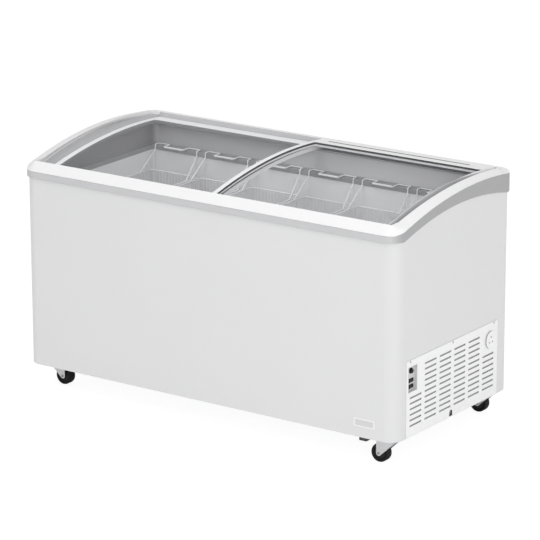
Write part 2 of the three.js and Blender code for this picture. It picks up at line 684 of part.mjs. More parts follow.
function buildRearCover() {
  const margin = 12;
  const [x0, x1] = [REAR_OPENING.x0 - margin, REAR_OPENING.x1 + margin];
  const [z0, z1] = [REAR_OPENING.z0 - 10, REAR_OPENING.z1 + margin];
  const cover = shapeOf([[z0, x0], [z1, x0], [z1, x1], [z0, x1]]);
  for (const xc of [520, 624]) {
    for (let row = 1; row < SLOT_BOTTOM_ROW; row += 1) {
      cover.holes.push(slotPath(SLOT.topZ - row * SLOT.pitchZ, xc, true));
    }
  }
  const bushing = cylinder(5, 20, 'y', [684, halfD, 343], 12);
  part('rear_cover', cut(alongY(cover, halfD + GAP, halfD + GAP + 1.5), bushing), 'galvanised');
}

function buildUnderside() {
  const top = BODY_BOTTOM - GAP;
  const rail = [[76, 622], [76, 650], [top, 663], [top, 622]];
  part('base_rail', alongY(shapeOf(rail), -352, 352), 'darkSteel');
  part('rating_label', block(606, 687.5, -halfD - 0.8, -halfD - GAP, 126, 155), 'label');
}

// ---------------------------------------------------------------- casters

function buildCaster(name, side, y) {
  const x = side * CASTER_X;
  const hubX = x - side * CASTER_TRAIL;
  const top = BODY_BOTTOM - GAP;
  part(`caster_plate_${name}`, block(x - 37.5, x + 37.5, y - 30, y + 30, top - 3, top), 'galvanised');

  // Side cheek, drawn as [z, distance outboard of the swivel axis].
  const tip = new THREE.Vector2(WHEEL_R, -CASTER_TRAIL);
  const tipR = 9.5;
  const cheek = new THREE.Shape();
  cheek.moveTo(84, -37);
  cheek.lineTo(tip.x, tip.y - tipR);
  cheek.absarc(tip.x, tip.y, tipR, -Math.PI / 2, -Math.PI * 1.25, true);
  cheek.lineTo(80, 37);
  cheek.lineTo(84, 37);
  const cheekAt = (yc) => {
    const plate = alongY(cheek, yc - 1, yc + 1, 5);
    if (side < 0) plate.scale(-1, 1, 1);
    return orient(plate).translate(x, y, 0);
  };
  const crown = block(x - 37, x + 37, y - 19, y + 19, 81, 84);
  const race = cylinder(16, 4, 'z', [x, y, 84.2], 16);
  const gapY = WHEEL_HALF_W + 3;
  const hole = cylinder(4.2, 60, 'y', [hubX, y, WHEEL_R], 12);
  const body = join(cheekAt(gapY), cheekAt(-gapY), crown, race);
  part(`caster_fork_${name}`, cut(body, hole), 'galvanised');
  part(`caster_axle_${name}`, cylinder(4.1, 2 * gapY + 5, 'y', [hubX, y, WHEEL_R], 12), 'darkSteel');

  const w = WHEEL_HALF_W;
  const profile = [
    [4.2, -w - 1], [9, -w - 1], [9, -w + 2.5], [25, -w + 2.5], [27, -w], [WHEEL_R, -w + 3],
    [WHEEL_R, w - 3], [27, w], [25, w - 2.5], [9, w - 2.5], [9, w + 1], [4.2, w + 1], [4.2, -w - 1],
  ];
  const wheel = new THREE.LatheGeometry(profile.map(([r, z]) => new THREE.Vector2(r, z)), 18);
  part(`caster_wheel_${name}`, orient(weld(wheel)).translate(hubX, y, WHEEL_R), 'tyre');
}

function orient(geometry) {
  const skin = weld(geometry);
  if (signedVolume(skin) < 0) reverse(skin);
  return skin;
}

// ---------------------------------------------------------------- assembly

buildSkin();
buildInsulation();
buildInnerSurround();
buildTopMouldings();
buildLidRails();
buildLids();
for (let number = 1; number <= BASKET.count; number += 1) buildBasket(number);
buildGrille();
buildControls();
buildRefrigeration();
buildCordAndDrain();
buildRearCover();
buildUnderside();
buildCaster('front_right', 1, CASTER_Y.right[0]);
buildCaster('rear_right', 1, CASTER_Y.right[1]);
buildCaster('front_left', -1, CASTER_Y.left[0]);
buildCaster('rear_left', -1, CASTER_Y.left[1]);

export default group;
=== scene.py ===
"""Chest freezer with two curved sliding glass lids: its finished look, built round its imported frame.

The shared frame has +X to the right seen from the front, -Y at the front and +Z up, with the origin
on the floor. Lengths here are in millimetres; publish() turns them into metres.
"""

import json
import math
import random

import bmesh
import bpy
from mathutils import Matrix, Vector
from mathutils.geometry import tessellate_polygon


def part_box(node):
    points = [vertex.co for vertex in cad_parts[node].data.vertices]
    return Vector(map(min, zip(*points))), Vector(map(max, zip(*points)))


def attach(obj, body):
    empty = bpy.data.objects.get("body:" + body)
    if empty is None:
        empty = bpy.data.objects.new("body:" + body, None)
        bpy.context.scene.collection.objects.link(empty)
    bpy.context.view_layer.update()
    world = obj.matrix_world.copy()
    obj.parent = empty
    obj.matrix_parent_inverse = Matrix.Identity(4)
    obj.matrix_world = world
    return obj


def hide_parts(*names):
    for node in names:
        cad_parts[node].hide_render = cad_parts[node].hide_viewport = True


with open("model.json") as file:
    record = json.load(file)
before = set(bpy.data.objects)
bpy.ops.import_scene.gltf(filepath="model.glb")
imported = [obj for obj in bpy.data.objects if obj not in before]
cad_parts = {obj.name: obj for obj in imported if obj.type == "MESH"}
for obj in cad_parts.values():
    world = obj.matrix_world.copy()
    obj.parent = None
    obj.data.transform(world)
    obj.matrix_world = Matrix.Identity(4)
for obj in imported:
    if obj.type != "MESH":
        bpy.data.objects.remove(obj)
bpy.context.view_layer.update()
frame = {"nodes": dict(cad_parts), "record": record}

MM = 0.001
RECORD = frame["record"]
BODY_OF = {node: body for body, nodes in RECORD["behaviour"]["bodies"].items() for node in nodes}
SLOT_OF = {part["node"]: part["material_slot"] for part in RECORD["subparts"]}
CORNERS = ["front_right", "rear_right", "front_left", "rear_left"]


def box(node):
    """Lowest and highest corner of a CAD node, in millimetres."""
    low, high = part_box(node)
    return low / MM, high / MM


# ---- driving sizes

HALF_W, HALF_D = box("outer_shell")[1].xy
BODY_BOTTOM = box("outer_shell")[0].z
CORNER_R = 50
SHEET = 1.5
TRIM_PROUD = box("trim_band")[1].x - HALF_W

INNER_EDGE = dict(side=35, front=23, rear=15)  # collar's inner edge, measured in from the cabinet face
FRONT_TRIM = dict(bottom=764, top=787)
REAR_TRIM_BOTTOM = 790
FRONT_COLLAR_TOP = 820
REAR_COLLAR_TOP = 861
LEDGE_Z = 752
LIP_Z = box("inner_surround")[0].z
THROAT_X, THROAT_Y, THROAT_R = 705, 313, 25
LID_HEIGHT = dict(right=15.5, left=14)
LID_BARS = dict(
    right=dict(left=18, right=6, front=20, rear=74, r=6),
    left=dict(left=22, right=20, front=19, rear=53, r=8),
)
GLASS_BELOW_FRAME = 1.5
GLASS = 5
RECESS = box("control_housing")
GRILLE = box("machine_grille")
WHEEL_R = 32


# ---- curved top lines

def arc(y, crest_z, crest_y, flatness):
    return crest_z - (y - crest_y) ** 2 / flatness


def clamp(value, low=0.0, high=1.0):
    return max(low, min(high, value))


def mix(a, b, t):
    return a + (b - a) * clamp(t)


def trim_bottom(y):
    return max(FRONT_TRIM["bottom"], REAR_TRIM_BOTTOM if y > 0 else 0, arc(y, 820, 45, 2400))


def trim_top(y):
    return max(FRONT_TRIM["top"], arc(y, 865.7, 135, 3040))


def right_lid_top(y):
    return arc(y, 870.5, 155, 3620)


def left_lid_top(y):
    return arc(y, 849, 190, 3800)


def end_rail_top(y):
    return arc(y, 873, 85, 2700)


def collar_top(y):
    crest = max(FRONT_COLLAR_TOP, arc(y, 875.5, 155, 3620))
    return mix(crest, REAR_COLLAR_TOP, (y - 316) / 20) if y > 316 else crest


def under_lids(y, drop, front_z, rear_z):
    """Height under the lower lid along the ends, joining the front and rear rails at their heights."""
    reach = (abs(y) - THROAT_Y + THROAT_R) / THROAT_R
    return mix(left_lid_top(y) - LID_HEIGHT["left"] - drop, rear_z if y > 0 else front_z, reach)


# ---- shapes

class Shape:
    """Closed surfaces, in millimetres, that together become one piece."""

    def __init__(self, *surfaces):
        self.points = []
        self.faces = []
        for surface in surfaces:
            self.add(surface)

    def add(self, surface, at=(0, 0, 0), turn=None):
        points, faces = surface
        start = len(self.points)
        for point in points:
            point = turn @ Vector(point) if turn else Vector(point)
            self.points.append(point + Vector(at))
        self.faces += [[start + i for i in face] for face in faces]
        return self


def loft(sections, wrap=False):
    """Joins cross-sections of equal length; wrap joins the last to the first, else both ends are capped."""
    count = len(sections[0])
    rows = len(sections) if wrap else len(sections) - 1
    points = [point for section in sections for point in section]
    faces = []
    for i in range(rows):
        k = (i + 1) % len(sections)
        for j in range(count):
            n = (j + 1) % count
            faces.append([i * count + j, i * count + n, k * count + n, k * count + j])
    if not wrap:
        last = (len(sections) - 1) * count
        faces.append(list(range(count))[::-1])
        faces.append([last + j for j in range(count)])
    return points, faces


def swept(lines):
    """Joins matching points of closed lines into a moulding."""
    return loft([[line[i] for line in lines] for i in range(len(lines[0]))], wrap=True)


def rect(x0, x1, y0, y1, r=0.0):
    return dict(x0=x0, x1=x1, y0=y0, y1=y1, r=r)


def inset(area, gap, r=None):
    """The same rectangle, smaller by gap on every side, with its corners to match unless r is given."""
    corner = area["r"] - gap if r is None else r
    return rect(area["x0"] + gap, area["x1"] - gap, area["y0"] + gap, area["y1"] - gap, corner)


def centred(half_x, half_y, r=0.0):
    return rect(-half_x, half_x, -half_y, half_y, r)


def body_rect(offset):
    return centred(HALF_W + offset, HALF_D + offset, CORNER_R + offset)


def outline(area, arc_steps=16, side_steps=1):
    """Points round a rounded rectangle, anticlockwise from the front right corner."""
    x0, x1, y0, y1, r = (area[k] for k in ("x0", "x1", "y0", "y1", "r"))
    points = []

    def corner(cx, cy, start):
        for i in range(arc_steps + 1):
            angle = start + i / arc_steps * math.pi / 2
            points.append((cx + r * math.cos(angle), cy + r * math.sin(angle)))

    def side(x, start, end):
        for i in range(1, side_steps):
            points.append((x, mix(start, end, i / side_steps)))

    corner(x1 - r, y0 + r, -math.pi / 2)
    side(x1, y0 + r, y1 - r)
    corner(x1 - r, y1 - r, 0)
    corner(x0 + r, y1 - r, math.pi / 2)
    side(x0, y1 - r, y0 + r)
    corner(x0 + r, y0 + r, math.pi)
    return points


def ring(profile, arc_steps=16, side_steps=72):
    """A moulding that runs round a rectangle. Its profile is a list of (rectangle, height)."""
    lines = []
    for area, height in profile:
        height_at = height if callable(height) else lambda y, z=height: z
        lines.append([(x, y, height_at(y)) for x, y in outline(area, arc_steps, side_steps)])
    return swept(lines)


SQUARE = ((-1, -1), (1, -1), (1, 1), (-1, 1))


def four(u0, u1, v0, v1):
    """The corners of a plain rectangle."""
    return [(u0, v0), (u1, v0), (u1, v1), (u0, v1)]


def block(x0, x1, y0, y1, z0, z1):
    return prism("z", four(x0, x1, y0, y1), z0, z1)


def circle(radius, steps, cx=0.0, cy=0.0):
    angles = [i / steps * 2 * math.pi for i in range(steps)]
    return [(cx + radius * math.cos(a), cy + radius * math.sin(a)) for a in angles]


def along(axis, points, place):
    """Turns (u, v) points into 3-D points at a place on an axis: (y, z), (z, x) or (x, y)."""
    if axis == "x":
        return [(place, u, v) for u, v in points]
    if axis == "y":
        return [(v, place, u) for u, v in points]
    return [(u, v, place) for u, v in points]


def prism(axis, points, start, end):
    return loft([along(axis, points, start), along(axis, points, end)])


def lathe(axis, profile, steps=48, at=(0, 0, 0)):
    """Turns a profile of (radius, distance along the axis) round the axis."""
    sections = []
    for i in range(steps):
        angle = i / steps * 2 * math.pi
        section = []
        for radius, place in profile:
            section += along(axis, [(radius * math.cos(angle), radius * math.sin(angle))], place)
        sections.append(section)
    points, faces = loft(sections, wrap=True)
    return [Vector(p) + Vector(at) for p in points], faces


def plate(axis, edge, holes, start, end):
    """A flat sheet with holes, across an axis, from start to end."""
    loops = [edge, *holes]
    flat = [point for loop in loops for point in loop]
    count = len(flat)
    points = along(axis, flat, start) + along(axis, flat, end)
    triangles = tessellate_polygon([[Vector((u, v, 0)) for u, v in loop] for loop in loops])
    faces = [list(t) for t in triangles] + [[i + count for i in t] for t in triangles]
    first = 0
    for loop in loops:
        for i in range(len(loop)):
            a, b = first + i, first + (i + 1) % len(loop)
            faces.append([a, b, b + count, a + count])
        first += len(loop)
    return points, faces


def stadium(cu, cv, length, height, steps=8):
    """A slot with round ends, long in its first coordinate."""
    r = height / 2
    reach = length / 2 - r
    points = []
    for side, start in ((1, -math.pi / 2), (-1, math.pi / 2)):
        for i in range(steps + 1):
            angle = start + i / steps * math.pi
            points.append((cu + side * reach + r * math.cos(angle), cv + r * math.sin(angle)))
    return points


def rounded(points, radius, steps=4):
    """The same path with its corners rounded off."""
    path = [Vector(p) for p in points]
    result = [path[0]]
    for back, here, on in zip(path, path[1:], path[2:]):
        reach = min(radius, (back - here).length / 2, (on - here).length / 2)
        start = here + (back - here).normalized() * reach
        end = here + (on - here).normalized() * reach
        for k in range(steps + 1):
            t = k / steps
            result.append(start.lerp(here, t).lerp(here.lerp(end, t), t))
    return result + [path[-1]]


def tube(path, radius, sides=8, closed=False):
    """A round bar along a path."""
    path = [Vector(p) for p in path]
    last = len(path) - 1
    side = None
    sections = []
    for i, centre in enumerate(path):
        before = path[i - 1] if closed or i > 0 else path[0]
        after = path[(i + 1) % len(path)] if closed or i < last else path[last]
        forward = (after - before).normalized()
        side = forward.orthogonal() if side is None else side - forward * side.dot(forward)
        side.normalize()
        up = forward.cross(side)
        angles = [k / sides * 2 * math.pi for k in range(sides)]
        sections.append([centre + radius * (side * math.cos(a) + up * math.sin(a)) for a in angles])
    return loft(sections, wrap=closed)


# ---- making pieces

def publish(name, shape, material):
    """Makes the mesh object for a shape."""
    mesh = bpy.data.meshes.new(name)
    mesh.from_pydata([Vector(p) * MM for p in shape.points], [], shape.faces)
    work = bmesh.new()
    work.from_mesh(mesh)
    bmesh.ops.remove_doubles(work, verts=work.verts, dist=0.01 * MM)
    bmesh.ops.recalc_face_normals(work, faces=work.faces)
    for face in work.faces:
        face.smooth = True
    work.to_mesh(mesh)
    work.free()
    obj = bpy.data.objects.new(name, mesh)
    bpy.context.scene.collection.objects.link(obj)
    mesh.materials.append(material)
    return obj


def soften(obj, width, segments=2, angle=30):
    """Rounds the sharp edges by width millimetres and keeps the flat faces flat in the light."""
    if width > 0:
        bevel = obj.modifiers.new("edges", "BEVEL")
        bevel.width = width * MM
        bevel.segments = segments
        bevel.limit_method = "ANGLE"
        bevel.angle_limit = math.radians(angle)
        bevel.miter_outer = "MITER_ARC"
    obj.data.set_sharp_from_angle(angle=math.radians(angle + 15))
    flat = obj.modifiers.new("flat_faces", "WEIGHTED_NORMAL")
    flat.keep_sharp = True
    return obj


def stand_for(obj, node):
    """obj takes the place of a CAD node."""
    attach(obj, BODY_OF[node])
    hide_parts(node)


def add_on(name, shape, material, host, edge=0.0):
    """A small extra piece that moves with a CAD node's body, in the material given to it."""
    obj = publish(name, shape, material)
    soften(obj, edge)
    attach(obj, BODY_OF[host])


def piece(node, shape, material=None, edge=0.4, segments=2, angle=30):
    """The finished piece for one CAD node."""
    obj = publish(node + "_look", shape, material or FINISH[SLOT_OF[node]])
    soften(obj, edge, segments, angle)
    stand_for(obj, node)


# ---- materials

class Graph:
    """A material's node tree, with short calls for the nodes used here. Sizes are in millimetres."""

    def __init__(self, name, roughness=0.5, metallic=0.0):
        self.material = bpy.data.materials.new(name)
        self.material.use_nodes = True
        self.tree = self.material.node_tree
        self.shader = self.tree.nodes["Principled BSDF"]
        self.shader.inputs["Roughness"].default_value = roughness
        self.shader.inputs["Metallic"].default_value = metallic
        self.place = self.node("ShaderNodeTexCoord").outputs["Object"]
        self.normal = None

    def node(self, kind, **settings):
        made = self.tree.nodes.new(kind)
        for key, value in settings.items():
            setattr(made, key, value)
        return made

    def link(self, source, target):
        self.tree.links.new(source, target)

    def stretched(self, stretch):
        mapping = self.node("ShaderNodeMapping")
        mapping.inputs["Scale"].default_value = stretch
        self.link(self.place, mapping.inputs["Vector"])
        return mapping.outputs["Vector"]

    def noise(self, size, detail=2.0, stretch=(1, 1, 1)):
        made = self.node("ShaderNodeTexNoise")
        made.inputs["Scale"].default_value = 1 / (size * MM)
        made.inputs["Detail"].default_value = detail
        self.link(self.stretched(stretch), made.inputs["Vector"])
        return made.outputs["Fac"]

    def cells(self, size, feature="F1", output="Distance", stretch=(1, 1, 1)):
        made = self.node("ShaderNodeTexVoronoi", feature=feature)
        made.inputs["Scale"].default_value = 1 / (size * MM)
        self.link(self.stretched(stretch), made.inputs["Vector"])
        return made.outputs[output]

    def spread(self, value, low, high, start=0.3, end=0.7):
        """Maps a texture's middle range onto low to high."""
        made = self.node("ShaderNodeMapRange")
        self.link(value, made.inputs["Value"])
        for name, number in zip(("From Min", "From Max", "To Min", "To Max"), (start, end, low, high)):
            made.inputs[name].default_value = number
        return made.outputs["Result"]

    def blend(self, factor, first, second):
        """Mixes two colours, each a colour or another node's output."""
        made = self.node("ShaderNodeMix", data_type="RGBA")
        self.link(factor, made.inputs["Factor"])
        for socket, colour in ((made.inputs[6], first), (made.inputs[7], second)):
            if isinstance(colour, tuple):
                socket.default_value = (*colour, 1)
            else:
                self.link(colour, socket)
        return made.outputs[2]

    def part(self, vector, axis):
        """One coordinate of a vector."""
        split = self.node("ShaderNodeSeparateXYZ")
        self.link(vector, split.inputs["Vector"])
        return split.outputs[axis]

    def shade(self, share, first, second):
        """Ends the material with a mix of two shaders."""
        both = self.node("ShaderNodeMixShader")
        for source, target in zip((share, first, second), both.inputs):
            self.link(source, target)
        self.link(both.outputs["Shader"], self.tree.nodes["Material Output"].inputs["Surface"])

    def facing(self, axis):
        """How far the surface looks along an axis, from -1 to 1."""
        return self.part(self.node("ShaderNodeNewGeometry").outputs["Normal"], axis)

    def colour(self, source):
        self.link(source, self.shader.inputs["Base Color"])

    def rough(self, texture, low, high):
        self.link(self.spread(texture, low, high), self.shader.inputs["Roughness"])

    def bump(self, height, depth):
        """Adds surface relief, depth millimetres high."""
        made = self.node("ShaderNodeBump")
        made.inputs["Distance"].default_value = depth * MM
        self.link(height, made.inputs["Height"])
        if self.normal:
            self.link(self.normal, made.inputs["Normal"])
        self.normal = made.outputs["Normal"]
        self.link(self.normal, self.shader.inputs["Normal"])
        return self

    def coat(self, weight, roughness=0.08):
        self.shader.inputs["Coat Weight"].default_value = weight
        self.shader.inputs["Coat Roughness"].default_value = roughness
        return self


def scaled(colour, factor):
    return tuple(clamp(channel * factor) for channel in colour)


def grey(level, blue=0.005):
    return level, level, level + blue


def drift(graph, colour, size, amount):
    """A slow change of tone over the surface."""
    return graph.blend(graph.noise(size), scaled(colour, 1 - amount), scaled(colour, 1 + amount))


def plastic_drift(graph, colour):
    return drift(graph, colour, 90, 0.02)


def plastic_skin(graph, low=0.37, high=0.5, grain=0.012):
    """The fine grain of a moulded part."""
    graph.rough(graph.noise(18), low, high)
    graph.bump(graph.cells(0.9, "SMOOTH_F1"), grain)
    return graph


def end_shade_share(graph):
    """1 on the faces that look along X and 0 on the others: where the painted end shade goes."""
    size = graph.node("ShaderNodeMath", operation="ABSOLUTE")
    graph.link(graph.facing("X"), size.inputs[0])
    return graph.spread(size.outputs["Value"], 0, 1, 0.5, 0.95)


def tone_along(graph, axis, start, end, first, second):
    """Runs from one colour to another between two positions (mm) along an axis."""
    share = graph.spread(graph.part(graph.place, axis), 0, 1, start * MM, end * MM)
    return graph.blend(share, plastic_drift(graph, first), plastic_drift(graph, second))


def painted_steel(name, colour):
    graph = Graph(name)
    graph.colour(drift(graph, colour, 320, 0.012))
    graph.rough(graph.noise(55), 0.28, 0.38)
    graph.bump(graph.noise(2.2), 0.006)
    return graph.coat(0.35).material


def moulded_plastic(name, colour, roughness=0.42, grain=0.012, amount=0.02):
    graph = Graph(name)
    graph.colour(drift(graph, colour, 90, amount))
    plastic_skin(graph, roughness - 0.05, roughness + 0.08, grain)
    return graph.bump(graph.noise(30), 0.04).material


def end_shaded_plastic(name, colour, end_shade_factor):
    """Plastic with painted shade on its faces at the ends of the cabinet, the ones that look along X."""
    graph = Graph(name)
    plain, dark = plastic_drift(graph, colour), plastic_drift(graph, scaled(colour, end_shade_factor))
    graph.colour(graph.blend(end_shade_share(graph), plain, dark))
    return plastic_skin(graph).material


def graded_plastic(name, axis, start, end, first, second):
    graph = Graph(name)
    graph.colour(tone_along(graph, axis, start, end, first, second))
    return plastic_skin(graph).material


def surround_plastic(name, left, right, end_shade_factor, ledge_shade_factor):
    """Grey moulding with painted light and shade: paler to the right, darker on its end walls, and darker on
    the basket ledge and the drip lip below it.
    """
    graph = Graph(name)
    wall = tone_along(graph, "X", -500, 300, left, right)
    end_shaded_wall = graph.blend(end_shade_share(graph), wall, plastic_drift(graph, scaled(left, end_shade_factor)))
    # Painted shade on the basket ledge and its drip lip.
    height = graph.spread(graph.part(graph.place, "Z"), 0, 1, (LEDGE_Z + 1) * MM, (LEDGE_Z + 6) * MM)
    graph.colour(graph.blend(height, drift(graph, scaled(left, ledge_shade_factor), 90, 0.05), end_shaded_wall))
    return plastic_skin(graph).material


def painted_rim_shade_plastic(name, face, rim):
    """Pale on the faces that look along +X, with painted shade on the edges round them."""
    graph = Graph(name)
    share = graph.spread(graph.facing("X"), 0, 1, 0.6, 0.98)
    graph.colour(graph.blend(share, drift(graph, rim, 30, 0.02), drift(graph, face, 30, 0.01)))
    return plastic_skin(graph, 0.34, 0.46, 0.01).material


def galvanised(name, colour, roughness=0.4):
    graph = Graph(name, metallic=0.85)
    flake = graph.node("ShaderNodeSeparateColor")
    graph.link(graph.cells(9, output="Color"), flake.inputs["Color"])
    tone = graph.spread(flake.outputs["Red"], 0, 1, 0, 1)
    graph.colour(graph.blend(tone, scaled(colour, 0.86), scaled(colour, 1.1)))
    graph.rough(flake.outputs["Green"], roughness - 0.08, roughness + 0.12)
    return graph.bump(graph.noise(1.4), 0.008).material


def stucco_metal(name, left, right):
    graph = Graph(name)
    # Paler towards the right: painted light, as if more light fell on that side of the tank.
    graph.colour(tone_along(graph, "X", -600, 500, left, right))
    graph.rough(graph.noise(30), 0.34, 0.46)
    graph.bump(graph.cells(4.2, "SMOOTH_F1"), 0.16)
    return graph.bump(graph.noise(60, stretch=(1, 1, 0.3)), 0.35).material


def coated_wire(name, colour):
    graph = Graph(name)
    graph.colour(drift(graph, colour, 12, 0.05))
    graph.rough(graph.noise(6), 0.26, 0.4)
    graph.bump(graph.noise(3), 0.03)
    return graph.coat(0.3).material


GLASS_SHINE = 0.08  # how much of a plain pane's reflection the coated glass keeps


def glass_pane(name):
    """Clear tempered glass: it passes light straight through and mirrors more at low angles."""
    graph = Graph(name)
    clear = graph.node("ShaderNodeBsdfTransparent")
    tint = graph.blend(graph.noise(400), (0.978, 0.979, 0.983), (0.985, 0.986, 0.99))
    graph.link(tint, clear.inputs["Color"])
    gloss = graph.node("ShaderNodeBsdfGlossy")
    graph.link(graph.spread(graph.noise(120), 0.02, 0.05), gloss.inputs["Roughness"])
    mirror = graph.node("ShaderNodeFresnel")
    mirror.inputs["IOR"].default_value = 1.5
    inside = graph.node("ShaderNodeNewGeometry").outputs["Backfacing"]
    share = graph.spread(inside, GLASS_SHINE, 0, 0, 1)
    factor = graph.node("ShaderNodeMath", operation="MULTIPLY")
    graph.link(mirror.outputs["Fac"], factor.inputs[0])
    graph.link(share, factor.inputs[1])
    graph.shade(factor.outputs["Value"], clear.outputs["BSDF"], gloss.outputs["BSDF"])
    graph.tree.nodes.remove(graph.shader)
    return graph.material


def dull(graph):
    graph.shader.inputs["Specular IOR Level"].default_value = 0.25


def tyre_rubber(name, colour, dusty):
    graph = Graph(name)
    dull(graph)
    graph.colour(graph.blend(graph.spread(graph.noise(9, 5), 0, 1, 0.5, 0.72), colour, dusty))
    graph.rough(graph.noise(7), 0.5, 0.72)
    return graph.bump(graph.noise(0.8, 4), 0.03).material


def black_moulding(name, colour, roughness=0.4):
    graph = Graph(name)
    dull(graph)
    graph.colour(drift(graph, colour, 10, 0.2))
    graph.rough(graph.noise(4), roughness - 0.06, roughness + 0.1)
    return graph.bump(graph.noise(0.5), 0.01).material


def black_enamel(name, colour):
    graph = Graph(name, metallic=0.2)
    graph.colour(drift(graph, colour, 40, 0.15))
    graph.rough(graph.noise(14), 0.34, 0.5)
    graph.bump(graph.noise(2.6), 0.02)
    return graph.coat(0.2).material


def copper_tube(name, bright, tarnished):
    graph = Graph(name, metallic=0.95)
    graph.colour(graph.blend(graph.spread(graph.noise(14, 4), 0, 1, 0.42, 0.66), bright, tarnished))
    graph.rough(graph.noise(5), 0.22, 0.42)
    return graph.bump(graph.noise(2, stretch=(6, 1, 1)), 0.01).material


def matt(name, texture_of, colours, start, end, depth, rough=(0.85, 0.95)):
    """A dull finish whose colour, roughness and relief all follow one texture."""
    graph = Graph(name)
    texture = texture_of(graph)
    graph.colour(graph.blend(graph.spread(texture, 0, 1, start, end), *colours))
    graph.rough(texture, *rough)
    return graph.bump(texture, depth).material


def foam_block(name, low, high):
    graph = Graph(name)
    pore = graph.cells(2.5)
    graph.colour(graph.blend(graph.spread(pore, 0, 1, 0.1, 0.6), low, high))
    graph.rough(graph.noise(10), 0.85, 0.95)
    return graph.bump(pore, 0.4).material


def brush_pile(name, low, high):
    strand = lambda graph: graph.noise(1.2, 1, stretch=(1, 1, 0.05))
    return matt(name, strand, (low, high), 0.35, 0.65, 0.2, (0.8, 0.95))


def filter_fleece(name, colour):
    fibre = lambda graph: graph.noise(1.6, 5)
    return matt(name, fibre, (scaled(colour, 0.86), scaled(colour, 1.1)), 0.3, 0.7, 0.4)


def zinc_plated(name, colour):
    graph = Graph(name, metallic=0.6)
    graph.colour(drift(graph, colour, 16, 0.06))
    graph.rough(graph.noise(5), 0.36, 0.5)
    return graph.bump(graph.noise(1.1, 3), 0.012).material


MAKERS = {
    "white_paint": (painted_steel, grey(0.73)),
    "galvanised_steel": (galvanised, (0.62, 0.63, 0.645)),
    "insulation": (foam_block, (0.60, 0.56, 0.45), (0.70, 0.66, 0.54)),
    # liner metal: paler to the right as painted light
    "liner_metal": (stucco_metal, grey(0.84), grey(0.97, 0.002)),
    # inner plastic: painted light to the right, painted shade on the end walls and the ledge
    "inner_plastic": (surround_plastic, grey(0.54), grey(0.72), 0.64, 0.72),
    # grey plastic: its faces that look along X carry painted shade
    "grey_plastic": (end_shaded_plastic, grey(0.57, 0.01), 0.70),
    "white_plastic": (moulded_plastic, grey(0.88), 0.36, 0.008, 0.008),
    "clear_glass": (glass_pane,),
    "seal_brush": (brush_pile, grey(0.05), grey(0.16, 0.01)),
    "basket_wire": (coated_wire, grey(0.92)),
    "pale_grey_plastic": (moulded_plastic, grey(0.64, 0.01)),
    "black_plastic": (black_moulding, grey(0.005, 0.0005)),
    "black_enamel": (black_enamel, grey(0.035, 0.003)),
    "copper": (copper_tube, (0.72, 0.36, 0.2), (0.42, 0.21, 0.13)),
    "label_plastic": (moulded_plastic, grey(0.86, 0), 0.3, 0.004, 0.006),
    "caster_steel": (zinc_plated, grey(0.66, 0.01)),
    "wheel_rubber": (tyre_rubber, grey(0.006, 0.0005), grey(0.014, 0.001)),
}
FINISH = {slot: make(slot, *values) for slot, (make, *values) in MAKERS.items()}
GRILLE_PAINT = painted_steel("grille_paint", grey(0.9))
RAIL_PLASTIC = graded_plastic("rail_plastic", "Z", 864, 873, grey(0.52, 0.01), grey(0.4, 0.008))
LABEL_INK = moulded_plastic("label_ink", grey(0.66, 0.01), 0.4, 0.004)
BOLT_STEEL = zinc_plated("bolt_steel", grey(0.32, 0.01))
HUB_PLASTIC = black_moulding("hub_plastic", grey(0.02, 0.001), 0.45)
MARK_PAINT = moulded_plastic("mark_paint", grey(0.8, 0), 0.4, 0.004)
# Grey fleece behind the grille slots; its grey is also painted shade seen through them.
FILTER_MAT = filter_fleece("filter_mat", grey(0.42))
GASKET = moulded_plastic("gasket_rubber", grey(0.075, 0.003), 0.55, 0.01)
# Mid grey on the lower lid frame's inner faces: painted shade.
LID_SHADE_LINING = moulded_plastic("lid_shade_lining", grey(0.34), 0.55, 0.01)
# The plug holder's rim is greyed as painted shade.
PLUG_WHITE = painted_rim_shade_plastic("plug_white", grey(0.9), grey(0.42))
LID_WHITE = moulded_plastic("lid_white", grey(0.92), 0.36, 0.008, 0.006)


# ---- cabinet

def sheet_wall(path, top, y_low, y_high, opening_top):
    """A thin upright sheet along a path of (x, y), with an opening low on the right end."""
    count = len(path)
    points = [(x, y, BODY_BOTTOM) for x, y in path]
    points += [(x, y, opening_top) for x, y in path]
    points += [(x, y, top(y)) for x, y in path]
    faces = []
    for row in (0, 1):
        for j in range(count - 1):
            (xa, ya), (xb, yb) = path[j], path[j + 1]
            on_right_end = min(xa, xb) > HALF_W - 0.01
            if row == 0 and on_right_end and y_low < (ya + yb) / 2 < y_high:
                continue
            k = row * count + j
            faces.append([k, k + 1, k + count + 1, k + count])
    return points, faces


def thicken(obj, thickness):
    """Gives a sheet its thickness, on its inner side."""
    thick = obj.modifiers.new("thickness", "SOLIDIFY")
    thick.thickness = thickness * MM
    thick.offset = -1


def build_skin():
    """The painted wrap: left end, front and right end, cut at the rear between its two seams."""
    seam = HALF_W - CORNER_R - 0.01
    y_low, y_high, opening_top = GRILLE[0].y + 5, GRILLE[1].y - 7, 338
    loop = outline(body_rect(0), 20, 60)
    left = [p for p in loop if p[0] <= -seam]
    right = [p for p in loop if p[0] >= seam] + [(HALF_W, y_low), (HALF_W, y_high)]
    path = sorted(left, key=lambda p: -math.atan2(p[1], -p[0]))
    path += sorted(set(right), key=lambda p: math.atan2(p[1], p[0]))
    wall = sheet_wall(path, lambda y: trim_top(y) - 3, y_low, y_high, opening_top)
    obj = publish("outer_shell_look", Shape(wall), FINISH["white_paint"])
    thicken(obj, SHEET)
    soften(obj, 0.4)
    stand_for(obj, "outer_shell")


